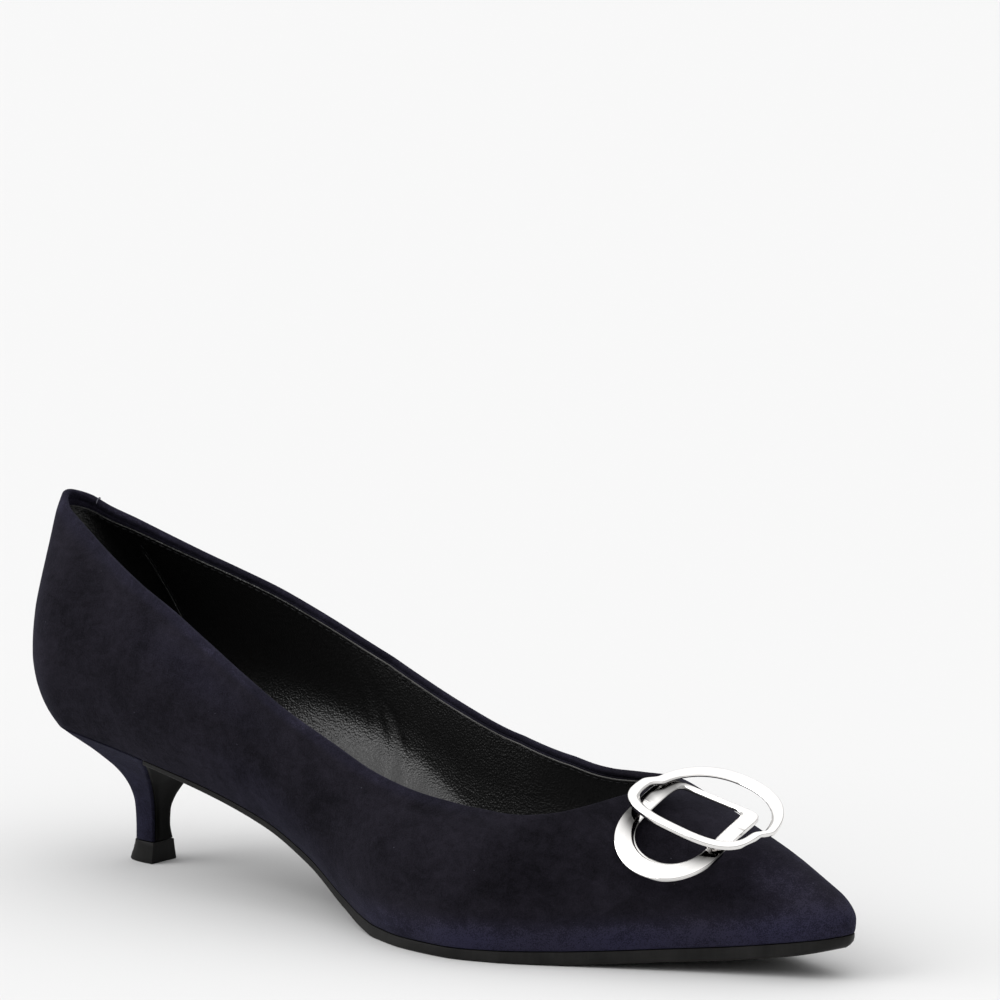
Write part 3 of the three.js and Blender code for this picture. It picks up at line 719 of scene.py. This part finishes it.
def suede_tones_and_painted_light(at, side, v):
    """Tones by position: how much lighter (0.5 is neutral) and how blue, with two spare channels. The
    lighter, bluer toe top and topline, the lighter fore part and the darker ball side are painted light and
    shade; the other soft zones are lighter or darker by place.
    """
    at, side, v = np.broadcast_arrays(at, side, v)
    height = last_point(at, side, v)[..., 2] - last["feather"](at) * SEAT_HEIGHT
    low_band = smooth(0.46, 0.62, at) * (1 - smooth(2.5, 10.5, height))
    low_band *= 0.85 + 0.15 * np.sin(at * 47 + 1.0)
    above_band = smooth(0.68, 0.76, at) * (1 - smooth(0.93, 0.97, at)) * bell((v, 1.15, 0.35))
    counter_top = (1 - smooth(0.04, 0.14, at)) * smooth(1.25, 1.8, v)
    by_topline = smooth(1.86, 1.97, v) * (1 - smooth(0.6, 0.7, at))
    waist = bell((at, 0.40, 0.08)) * (1 - smooth(0.6, 1.2, v))
    quarter = bell((at, 0.30, 0.09), (v, 1.6, 0.3))
    toe_top = bell((at, 0.95, 0.05), (v, 1.55, 0.4))
    low_counter = (1 - smooth(0.1, 0.2, at)) * (1 - smooth(0.4, 1.0, v))
    fore = smooth(0.70, 0.84, at)
    # Painted light and shade: the toe top, the fore part and the topline are lighter and the ball side
    # darker for how the light falls.
    lift = 0.46 + 0.62 * low_band - 0.16 * above_band + 0.14 * counter_top + 0.18 * by_topline
    ball_side = bell((at, 0.55, 0.09), (v, 1.3, 0.4))
    lift += 0.02 * waist - 0.14 * ball_side + 0.08 * quarter + 0.34 * toe_top
    lift += 0.16 * fore - 0.08 * low_counter
    blue = 0.9 * low_band + 0.35 * toe_top + 0.35 * waist + 0.4 * by_topline + 0.3 * quarter
    return np.stack([lift, np.clip(blue, 0, 1), np.zeros_like(lift), np.ones_like(lift)], -1)


def suede_upper():
    """The outside with its edge tucked under, and the rolled topline turned in over the lining."""
    tuck = []
    low, out = OUTSIDE[:, 0], NORMALS[:, 0] * np.array([1, 1, 0])
    for inwards, drop in ((1.7, -0.16), (0.9, -0.2), (0.35, -0.14), (0.1, -0.04)):
        tuck.append(low - unit(out) * inwards + np.array([0, 0, drop]))
    grid = np.concatenate([np.stack(tuck, 1), OUTSIDE], axis=1)
    rows = grid.shape[1]
    vertices = [grid.reshape(-1, 3)]
    faces = grid_faces(COLUMNS, rows, loop=True)
    points, normals, up = edge_frame()
    roll = roll_rows(points, normals, up)
    depth = band_depth(AT[EDGE])
    for share, sunk in ((0.2, 0.0), (0.33, 0.05), (0.42, 0.34), (0.51, 0.05), (0.7, -0.06), (1.0, 0.0)):
        row = []
        for column, d in zip(EDGE, depth):
            row.append(walk_down(column, [share * (d + 0.5)], WALL - sunk * min(d, 1.0))[0][0])
        roll.append(np.array(row))
    roll = np.stack(roll, 1)
    vertices.append(roll.reshape(-1, 3))
    faces += grid_faces(len(EDGE), roll.shape[1], first=grid.shape[0] * rows, loop=True)
    levels = np.concatenate([np.zeros(len(tuck)), ROWS])
    at, side = AT[:, None], SIDE[:, None]
    tone_and_painted_light = [
        suede_tones_and_painted_light(at, side, levels[None, :]).reshape(-1, 4),
        suede_tones_and_painted_light(at[EDGE], side[EDGE], np.full((1, roll.shape[1]), 2.0)).reshape(-1, 4),
    ]
    return make_piece(
        "upper_suede", np.concatenate(vertices), faces, SUEDE, ("upper",), 0, np.concatenate(tone_and_painted_light)
    )


LINING_THICKNESS = 0.45


def lining_relief(at, side, height):
    """How far the lining stands in: a filled waist above the sock, and wear creases inside.

    A crease has a place, a lean, its lowest and highest point, a depth and a width.
    """
    relief = 5.0 * bell((at, 0.43, 0.15)) * np.clip(1 - height / 22, 0, 1) ** 1.7
    if side < 0:
        return relief
    for place, lean, low, high, depth, width in (
        (0.425, -0.0020, 1.0, 19.0, 0.55, 0.0052),
        (0.447, -0.0010, 2.0, 10.0, 0.30, 0.0045),
        (0.398, -0.0016, 6.0, 24.0, 0.25, 0.0060),
        (0.487, 0.0012, 3.0, 7.0, 0.50, 0.0040),
    ):
        away = (at - place - lean * height) / width
        reach = smooth(low - 3, low, height) * (1 - smooth(high, high + 5, height))
        relief = relief + depth * reach * (0.7 * np.exp(-((away + 1.7) ** 2)) - np.exp(-(away ** 2)))
    return relief


def lining():
    """The lining, from its trimmed edge below the topline down to the sock."""
    inner = WALL + LINING_THICKNESS
    columns = []
    for column in range(COLUMNS):
        closed = CLOSED[column]
        edge = 0.0 if closed else float(band_depth(AT[column]))
        lowest = walk_down(column, [0], 0)[1] - 1.2
        fall = edge + 0.35 + (lowest - edge - 0.35) * np.linspace(0, 1, 34) ** 1.15
        lip_outer = walk_down(column, [edge], inner if closed else WALL - 0.02)[0]
        lip_mid = walk_down(column, [edge - 0.02], inner if closed else WALL + 0.3)[0]
        lip_inner = walk_down(column, [edge + 0.16], inner)[0]
        body = walk_down(column, fall, inner)[0]
        height = body[:, 2] - OUTSIDE[column, 0, 2] - 1.0
        offset = lining_relief(AT[column], SIDE[column], height)
        across = NORMALS[column, len(ROWS) // 3] * (1.0, 1.0, 0.0)
        body = body - across * offset[:, None]
        columns.append(np.concatenate([lip_outer, lip_mid, lip_inner, body]))
    grid = np.stack(columns)
    faces = grid_faces(COLUMNS, grid.shape[1], loop=True, flip=True)
    return make_piece("lining", grid.reshape(-1, 3), faces, LINING, smooth_angle=60)


# The sock, sole, heel and lift

def outline(places, inset):
    """The feather line in plan, moved in by a distance square to it: outer and inner side."""
    sides = []
    for which in (OUTER, INNER):
        points = last_point(places, which, 0.0)
        run = np.empty_like(points)
        run[1:-1] = points[2:] - points[:-2]
        run[0] = points[1] - points[0]
        run[-1] = points[-1] - points[-2]
        run[:, 2] = 0
        run = unit(run)
        if places[0] == 0:
            run[0] = (0, which, 0)
        if places[-1] == 1:
            run[-1] = (0, -which, 0)
        moved = points.copy()
        moved[:, 0] += which * run[:, 1] * inset
        inside = (places > 0) & (places < 1)
        moved[inside, 1] -= which * run[inside, 0] * inset
        sides.append(moved)
    return sides


def sock():
    """The sock that the foot stands on: a little crowned, with its edge turned up to the lining."""
    outer, inner = outline(PLACES, WALL + LINING_THICKNESS - 0.15)
    across = np.linspace(-1, 1, 41)
    spread = np.sin(across * math.pi / 2)
    share = (spread + 1) / 2
    grid = outer[:, None] * (1 - share)[None, :, None] + inner[:, None] * share[None, :, None]
    lip = np.abs(spread) ** 14 * 1.1
    crown = 0.35 * (1 - spread ** 2)
    cup = -0.9 * bell((PLACES, 0.12, 0.09))[:, None] * (1 - spread ** 2)[None, :]
    wear = -0.35 * bell((PLACES, 0.62, 0.08))[:, None] * (1 - spread ** 2)[None, :]
    grid[..., 2] += INSOLE_THICKNESS + lip + crown + cup + wear
    creases = ((0.475, 0.35, 0.006), (0.505, 0.3, 0.005), (0.54, 0.4, 0.007), (0.585, 0.3, 0.006))
    for at, depth, width in creases:
        bend = at + 0.012 * np.sin(across * 2.3 + at * 40)
        trough = bell((PLACES[:, None], bend[None, :], width))
        grid[..., 2] -= depth * trough * (1 - spread ** 4)[None, :]
    vertices = grid.reshape(-1, 3)
    faces = grid_faces(len(PLACES), len(across), flip=True)
    return make_piece("sock", vertices, faces, SOCK, ("insole",), smooth_angle=0)


def outsole():
    """The sole from the heel's breast to the toe, with a bevel that widens under the point."""
    start = BREAST + GAP / LENGTH + 0.003
    places = np.concatenate([[start], PLACES[PLACES > start + 0.002]])
    outer, inner = outline(places, 0.0)
    top = outer[:, 2] - GAP
    bottom = np.maximum(top - SOLE_THICKNESS * shank["thick"](places), 0)
    middle = (outer[:, 1] + inner[:, 1]) / 2
    rings = []
    for i in range(len(places)):
        taper = mix(SOLE_BEVEL, 2.4, smooth(0.93, 1.0, places[i]))
        room = min(taper, (top[i] - bottom[i]) * 0.78)
        profile = [(0.35, top[i]), (0.06, top[i] - 0.05), (0.0, top[i] - 0.2)]
        for angle in np.linspace(0, math.pi / 2, 5):
            profile.append((room * (1 - math.cos(angle)), bottom[i] + room * (1 - math.sin(angle))))
        halves = []
        for point in (outer[i], inner[i]):
            reach = abs(point[1] - middle[i])
            side = 1 if point[1] > middle[i] else -1
            back_off = 0.9 * smooth(0.955, 1.0, places[i])
            half = []
            for inset, z in profile:
                half.append((point[0] - inset * back_off, middle[i] + side * max(reach - inset, 0), z))
            halves.append(half)
        rings.append(halves[0] + halves[1][::-1])
    return rings_piece("outsole_leather", rings, SOLE_EDGE, ("outsole",), smooth_angle=40)


def d_point(t, side, front, half_width, depth):
    """A D-shaped outline's points, from its front corner to the middle of its back."""
    angle = t * math.pi / 2
    squareness = 0.8
    return np.stack([
        front - depth * np.sin(angle) ** squareness,
        side * half_width * np.maximum(np.cos(angle), 0) ** squareness,
        np.zeros_like(angle),
    ], -1)


HEEL_STEPS = np.linspace(0, 1, 41)


def heel_side(level, which):
    """One side of the heel at a level, from its front corner to the middle of the back."""
    half_width = LIFT_HALF_WIDTH * HEEL_FOOT_WIDTH
    depth = LIFT_DEPTH * HEEL_FOOT_DEPTH
    low = d_point(HEEL_STEPS, which, HEEL_FRONT - HEEL_SETBACK, half_width, depth)
    turn = np.sin(HEEL_STEPS * math.pi / 2)
    at = BREAST * (1 - turn)
    high = last_point(at, which, 0.0)
    high[:, 0] = mix(high[:, 0], LENGTH * BREAST, 0.012)
    high[:, 2] = last["feather"](at) * SEAT_HEIGHT - GAP
    out = mix(heel_shape["side"](level), heel_shape["back"](level), turn ** 2)
    return np.stack([
        mix(low[:, 0], high[:, 0], out),
        mix(low[:, 1], high[:, 1], out),
        mix(LIFT_HEIGHT + GAP, high[:, 2], level),
    ], -1)


def covered_heel():
    """The suede over the heel, folded round its front edges."""
    fold, lip = 1.5, 0.4
    rings = []
    for level in np.linspace(0, 1, 49):
        halves = []
        for which in (OUTER, INNER):
            side = heel_side(level, which)
            corner = side[0].copy()
            reach = abs(corner[1])
            inwards = -which
            turned = [
                corner + (-0.55, inwards * min(fold + 0.8, reach * 0.8), 0),
                corner + (-0.05, inwards * min(fold, reach * 0.7), 0),
                corner + (0.0, inwards * min(lip, reach * 0.3), 0),
                corner + (-0.14, inwards * 0.08, 0),
            ]
            side[0] += (-0.42, 0, 0)
            halves.append(turned + list(side))
        rings.append(halves[0] + halves[1][::-1])
    tone_and_painted_light = np.tile((0.5, 0.6, 0.0, 1.0), (np.asarray(rings).reshape(-1, 3).shape[0], 1))
    return rings_piece("heel_cover", rings, HEEL_SUEDE, ("heel",), smooth_angle=0, tone_and_painted_light=tone_and_painted_light)


def breast_facing():
    """The satin facing between the folded edges, hollowed a little across the heel."""
    rings = []
    for level in np.linspace(0.006, 0.985, 41):
        outer = heel_side(level, OUTER)[0]
        inner = heel_side(level, INNER)[0]
        across = np.linspace(-1, 1, 15)
        centre, half = (outer[1] + inner[1]) / 2, (inner[1] - outer[1]) / 2 - FOLD_EDGE
        hollow = 0.5 * (1 - across ** 2) * min(half / 12, 1)
        front = outer[0] + GAP + BREAST_COVER_THICKNESS - 0.15
        face = []
        for a, h in zip(across, hollow):
            face.append((front - h - 0.25 * abs(a) ** 8, centre + a * half, outer[2]))
        rear = [(outer[0] + 0.05, centre + a * half, outer[2]) for a in across[::-1]]
        rings.append(face + rear)
    return rings_piece("breast_facing", rings, BREAST_SATIN, ("breast_cover",), smooth_angle=40)


def top_lift():
    """The small D-shaped lift, narrower at its waist, with a worn lower edge."""
    rings = []
    levels = (
        (0.0, 0.955), (0.08, 0.985), (0.3, 1.0), (1.4, 0.965),
        (2.75, 0.91), (4.2, 0.865), (5.35, 0.84), (5.5, 0.82),
    )
    steps = np.linspace(0, 1, 33)
    for z, scale in levels:
        front = HEEL_FRONT - HEEL_SETBACK * (1 - scale)
        halves = []
        for which in (OUTER, INNER):
            side = d_point(steps, which, front, LIFT_HALF_WIDTH * scale, LIFT_DEPTH * scale)
            side[:, 2] = z
            halves.append(list(side))
        rings.append(halves[0] + halves[1][::-1])
    return rings_piece("lift", rings, LIFT, ("top_lift",), smooth_angle=35)


# The ornament

def superellipse(spec, angle, inset):
    """Plan points of a ring's edge: inset 0 is the outer edge and 1 the inner."""
    far = np.sin(angle) > 0
    power = 2 / np.where(far, spec["round_far"], spec["round_near"])
    along = np.sign(np.cos(angle)) * np.abs(np.cos(angle)) ** power
    across = np.sign(np.sin(angle)) * np.abs(np.sin(angle)) ** power
    half = np.where(far, spec["far"] - inset * spec["band_far"], spec["near"] - inset * spec["band_near"])
    long = spec["long"] - inset * spec["band_side"]
    moved = spec["shift"] * smooth(0.0, 0.2, np.sin(angle))
    return np.stack([
        RING_LENGTH * (long * along + moved),
        RING_LENGTH * half * across,
    ], -1)


def ring_sheet(spec):
    """A function that places plan points and heights on the sheet that a ring is cut from."""
    run = RING_LENGTH / LENGTH / 2
    fall = (ridge["outer"](spec["at"] - run) - ridge["outer"](spec["at"] + run)) * THROAT_HEIGHT
    slope = spec["slope"] * math.atan2(fall, RING_LENGTH)
    along = np.array([math.cos(slope), 0, -math.sin(slope)])
    steep = np.array([math.sin(slope), 0, math.cos(slope)])
    origin = np.array([spec["at"] * LENGTH, middle_line(spec["at"]) + spec["across"] * BALL_WIDTH, 0])

    def across(tilt):
        angle = np.radians(tilt)[..., None]
        return np.cos(angle) * np.array([0.0, 1.0, 0.0]) + np.sin(angle) * steep

    def place(plan, height):
        b = plan[..., 1]
        turned = spec["bend"] * b / RING_LENGTH
        normal = np.cross(along, across(spec["tilt"] - turned))
        flat = origin + plan[..., :1] * along + b[..., None] * across(spec["tilt"] - turned / 2)
        return flat + normal * np.asarray(height)[..., None]

    return place


def spaced_angles(spec, count):
    """Angles whose points lie evenly along the ring's outer edge."""
    fine = np.linspace(0, 2 * math.pi, 4001)
    points = superellipse(spec, fine, 0)
    walked = np.concatenate([[0], np.cumsum(np.linalg.norm(np.diff(points, axis=0), axis=1))])
    return np.interp(np.linspace(0, walked[-1], count + 1)[:-1], walked, fine)


# Points of the section with crisp edges, and the most of the band that 1 mm of bevel may take
CRISP_PROFILE_POINTS = (0, 1, 7, 10, 11, 12)
BEVEL_SHARE = 0.36


def ring_profile():
    """The band's section: (share across the band, millimetres from the edge, height)."""
    t = RING_THICKNESS
    return [
        (0.0, 0.10, 0.0), (0.0, 0.0, 0.12), (0.0, 0.0, t - 0.30), (0.0, 0.06, t - 0.12),
        (0.0, 0.18, t - 0.02), (0.0, 0.34, t), (0.5, 0.0, t + 0.04), (1.0, -1.0, t),
        (1.0, -0.8, t - 0.05), (1.0, -0.12, t - 0.62), (1.0, 0.0, t - 0.72), (1.0, 0.0, 0.12),
        (1.0, -0.10, 0.0), (0.5, 0.0, 0.0),
    ]


def painted_crossing_shade(name, rings):
    """Painted shade and reflection for each point: the lower ring's colour darkens on its near side where
    the upper ring crosses it, standing in for the upper ring's dark underside.
    """
    tone = np.ones(rings.shape[:2])
    if name == "ornament_lower_ring":
        spec = RINGS["ornament_upper_ring"]
        angles = spaced_angles(spec, 160)
        plan = (superellipse(spec, angles, 0) + superellipse(spec, angles, 1)) / 2
        upper = ring_sheet(spec)(plan, np.zeros(len(angles)))
        away = rings[:, :, None, :2] - upper[None, None, :, :2]
        distance = np.linalg.norm(away, axis=-1)
        nearest = distance.argmin(-1)
        nearer = np.take_along_axis(away[..., 1], nearest[..., None], -1)[..., 0] < 0.3
        shade = smooth(1.2, 5.2, distance.min(-1))
        tone = np.where(nearer, mix(0.07, 1.0, shade), 1.0)
    return np.stack([tone, tone, tone, np.ones_like(tone)], -1).reshape(-1, 4)


def ring(name):
    """Makes a bevelled ring at its solid's height and returns the tops of its feet."""
    spec = RINGS[name]
    place = ring_sheet(spec)
    angles = spaced_angles(spec, 220)
    outer = superellipse(spec, angles, 0)
    inner = superellipse(spec, angles, 1)
    band = np.linalg.norm(inner - outer, axis=1, keepdims=True)
    rows = []
    for share, extra, height in ring_profile():
        t = share + extra * np.minimum(1 / band, BEVEL_SHARE)
        rows.append(place(outer * (1 - t) + inner * t, np.full(len(angles), height)))
    rings = np.stack(rows, 1)
    highest = place(outer, np.full(len(angles), RING_THICKNESS))[..., 2].max()
    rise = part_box(name)[1].z * 1000 - highest
    rings[..., 2] += rise
    # Painted shade and reflection on the lower ring where the upper ring crosses it.
    tones = painted_crossing_shade(name, rings)
    piece = rings_piece(
        name + "_metal", rings, CHROME, (name,), caps=False, loop=True, smooth_angle=0, tone_and_painted_light=tones
    )
    around = rings.shape[1]
    for edge in piece.data.edges:
        first, second = (v % around for v in edge.vertices)
        edge.use_edge_sharp = first == second and first in CRISP_PROFILE_POINTS
    feet = []
    for degrees in spec["feet"]:
        angle = np.radians(np.array([float(degrees)]))
        plan = (superellipse(spec, angle, 0) + superellipse(spec, angle, 1)) / 2
        feet.append(place(plan, np.zeros(1))[0] + (0, 0, rise + 0.3))
    return feet


def ring_feet(feet, ground):
    """Short rounded posts from the rings' undersides to the nearest suede."""
    vertices, faces = [], []
    steps = 14
    turns = np.linspace(0, 2 * math.pi, steps + 1)[:-1, None]
    for top in feet:
        near = np.array(ground.find_nearest(Vector(packed(top)))[0]) * 1000 - TO_PACKED
        axis = unit(near - top)
        side = unit(np.cross(axis, np.array([1.0, 0.2, 0.0])))
        other = np.cross(axis, side)
        base = len(vertices)
        reach = np.linalg.norm(near - top)
        rings = ((0.0, 0.7), (max(reach - 0.4, 0.1), 0.7), (max(reach - 0.1, 0.2), 0.95), (reach, 1.0))
        for distance, radius in rings:
            vertices += list(top + axis * distance + (side * np.cos(turns) + other * np.sin(turns)) * radius)
        faces += tube_faces(base, len(rings), steps)
    # Painted shade: the posts' metal colour is dimmed to 0.6, as if in the shade under the rings.
    tone_and_painted_light = np.tile((0.6, 0.6, 0.6, 1.0), (len(vertices), 1))
    return make_piece("ornament_feet", np.array(vertices), faces, CHROME, (), 40, tone_and_painted_light)


# Stitches

def stitch_row(name, path, normals, material, pitch, length, radius):
    """Short threads lying along a path, each a little sunk at its ends."""
    steps = np.linalg.norm(np.diff(path, axis=0), axis=1)
    walked = np.concatenate([[0], np.cumsum(steps)])
    count = int(walked[-1] // pitch)
    vertices, faces = [], []
    around = 6

    def at(distance, source):
        return np.array([np.interp(distance, walked, source[:, k]) for k in range(3)])

    for i in range(count):
        middle = (i + 0.5) * pitch
        shares = (-0.5, -0.42, -0.2, 0.2, 0.42, 0.5)
        widths = (0.15, 0.7, 1.0, 1.0, 0.7, 0.15)
        base = len(vertices)
        direction = unit(at(middle + 0.3, path) - at(middle - 0.3, path))
        for share, width in zip(shares, widths):
            point = at(middle + share * length, path)
            normal = unit(at(middle, normals))
            side = unit(np.cross(direction, normal))
            point = point + normal * radius * (0.75 - 2.2 * abs(share) ** 2)
            for k in range(around):
                a = 2 * math.pi * k / around
                vertices.append(point + (side * math.cos(a) + normal * math.sin(a)) * radius * width)
        faces += tube_faces(base, len(shares), around)
    return make_piece(name, np.array(vertices), faces, material, smooth_angle=60)


def lining_stitches():
    path, normals = [], []
    for column in EDGE:
        depth = float(band_depth(AT[column])) + 0.95
        path.append(walk_down(column, [depth], WALL + LINING_THICKNESS)[0][0])
        normals.append(-NORMALS[column, -1])
    keep = AT[EDGE] < 0.74
    return stitch_row(
        "lining_stitches", np.array(path)[keep], np.array(normals)[keep], THREAD, 2.3, 1.7, 0.17
    )


def thin_cord(name, path, radius, material):
    """A fine round cord along a path, tapered at both ends."""
    run = unit(np.gradient(path, axis=0))
    side = unit(np.cross(run, np.array([0.0, 0.0, 1.0])))
    up = np.cross(side, run)
    ends = np.minimum(np.arange(len(path)), np.arange(len(path))[::-1])
    width = radius * np.clip(0.15 + ends / 4, 0, 1)[:, None]
    angles = np.linspace(0, 2 * math.pi, 9)[:-1]
    rings = np.stack([path + (side * math.cos(a) + up * math.sin(a)) * width for a in angles], 1)
    return rings_piece(name, rings, material, smooth_angle=0)


def lining_edges():
    """The lining's cut edge along both sides of the collar, a pale cord whose colour is a painted highlight.
    """
    for label, which, start, end in (("outer", OUTER, 0.42, 0.70), ("inner", INNER, 0.27, 0.735)):
        chosen = [c for c in EDGE if SIDE[c] == which and start <= AT[c] <= end]
        path = [walk_down(c, [float(band_depth(AT[c])) + 0.05], WALL + 0.32)[0][0] for c in chosen]
        thin_cord("lining_edge_" + label, np.array(path), 0.19, CUT_EDGE_HIGHLIGHT)


def on_last(at, side, v):
    """Points of the outside with their outward normals."""
    points = last_point(at, side, v)
    along = last_point(np.asarray(at) + 0.001, side, v) - points
    up = points - last_point(at, side, np.asarray(v) - 0.01)
    normals = unit(np.cross(along, up))
    outward = points * np.array([1.0, 1.0, 0.0])
    outward[..., 0] = np.minimum(points[..., 0] - 25.0, 0.0)
    return points, normals * np.sign((normals * outward).sum(-1, keepdims=True))


def medial_seam():
    """The closing seam, a shallow diagonal on the heel's inner side, oversewn at the top."""
    t = np.linspace(0, 1, 60)
    path, normals = on_last(mix(0.050, 0.0005, t), INNER, mix(1.995, 1.55, t))
    stitch_row("seam_stitches", path + normals * 0.1, normals, PALE_THREAD, 1.5, 1.0, 0.16)
    column = EDGE[int(np.argmin(abs(AT[EDGE] - 0.032) + 10 * (SIDE[EDGE] < 0)))]
    top = OUTSIDE[column, -1]
    out = NORMALS[column, -1]
    sweep = np.linspace(-0.3, math.pi + 0.2, 14)[:, None]
    across = (np.cos(sweep) - 1) * WALL / 2 + 0.12 * np.cos(sweep)
    arc = top + out * across + np.array([0, 0, 0.75]) * np.sin(sweep)
    thin_cord("seam_end_stitch", arc, 0.2, PALE_THREAD)


def lining_seam():
    """The join between the counter lining and the quarter lining on the inner wall."""
    t = np.linspace(0, 1, 50)
    for label, which in (("outer", OUTER), ("inner", INNER)):
        path, normals = on_last(mix(0.068, 0.145, t), which, mix(1.80, 0.45, t))
        inside = path - normals * (WALL + LINING_THICKNESS)
        thin_cord("lining_seam_" + label, inside, 0.28, LINING)
        beside = inside - normals * 0.02 + (1.1, 0, 0)
        stitch_row("lining_seam_stitches_" + label, beside, -normals, THREAD, 2.2, 1.5, 0.15)


# Build

upper_piece = suede_upper()
lining()
sock()
outsole()
covered_heel()
breast_facing()
top_lift()
feet_tops = []
for ring_name in RINGS:
    feet_tops += ring(ring_name)
bpy.context.view_layer.update()
ground = BVHTree.FromObject(upper_piece, bpy.context.evaluated_depsgraph_get())
ring_feet(feet_tops, ground)
lining_stitches()
lining_edges()
medial_seam()
lining_seam()


# Floor, light and camera

def soft_studio():
    """A wide pale floor and a sky that is dark at the horizon and bright above."""
    floor_material, nodes, shader = new_material("floor", (0.725, 0.725, 0.725), 0.85)
    nodes.feed(shader, {"Specular IOR Level": 0.0})
    half = 14.0
    corners = [(-half, -half, 0), (half, -half, 0), (half, half, 0), (-half, half, 0)]
    mesh = bpy.data.meshes.new("floor")
    mesh.from_pydata(corners, [], [(0, 1, 2, 3)])
    mesh.materials.append(floor_material)
    add_object("floor", mesh)
    world = bpy.data.worlds.new("studio")
    bpy.context.scene.world = world
    world.use_nodes = True
    nodes = Nodes(world.node_tree)
    split = nodes.new("SeparateXYZ", {"Vector": nodes.new("TexCoord", {}).outputs["Generated"]})
    grey_at_height = ((0.0, 0.05), (0.12, 0.09), (0.3, 0.60), (1.0, 0.72))
    sky = nodes.ramp(split.outputs["Z"], [(height, (grey,) * 3) for height, grey in grey_at_height])
    nodes.feed(world.node_tree.nodes["Background"], {"Color": sky, "Strength": 1.0})


def sun(name, towards, strength, angle):
    """Broad soft light from far away, the same all over the floor."""
    light = bpy.data.lights.new(name, "SUN")
    light.energy = strength
    light.angle = math.radians(angle)
    lamp = add_object(name, light)
    lamp.location = Vector(towards) * 2
    lamp.rotation_euler = Vector(towards).to_track_quat("Z", "Y").to_euler()


def camera():
    """The photograph's view, worked out in the shoe's frame."""
    place = np.array([831.64, -875.90, 263.12])
    look = np.array([-0.60678, 0.78226, -0.14108])
    lens = bpy.data.cameras.new("camera")
    lens.lens = 165.45
    lens.sensor_width = 36.0
    lens.clip_end = 60
    eye = add_object("camera", lens)
    eye.location = packed(place)
    eye.rotation_euler = Vector(look).to_track_quat("-Z", "Y").to_euler()
    bpy.context.scene.camera = eye


soft_studio()
sun("overhead", (-0.10, 0.12, 0.99), 1.15, 100)
sun("window", (-0.60, -0.60, 0.53), 1.45, 46)
sun("front_softbox", (0.30, -0.50, 0.81), 0.2, 60)
camera()
bpy.context.scene.view_settings.view_transform = "Standard"
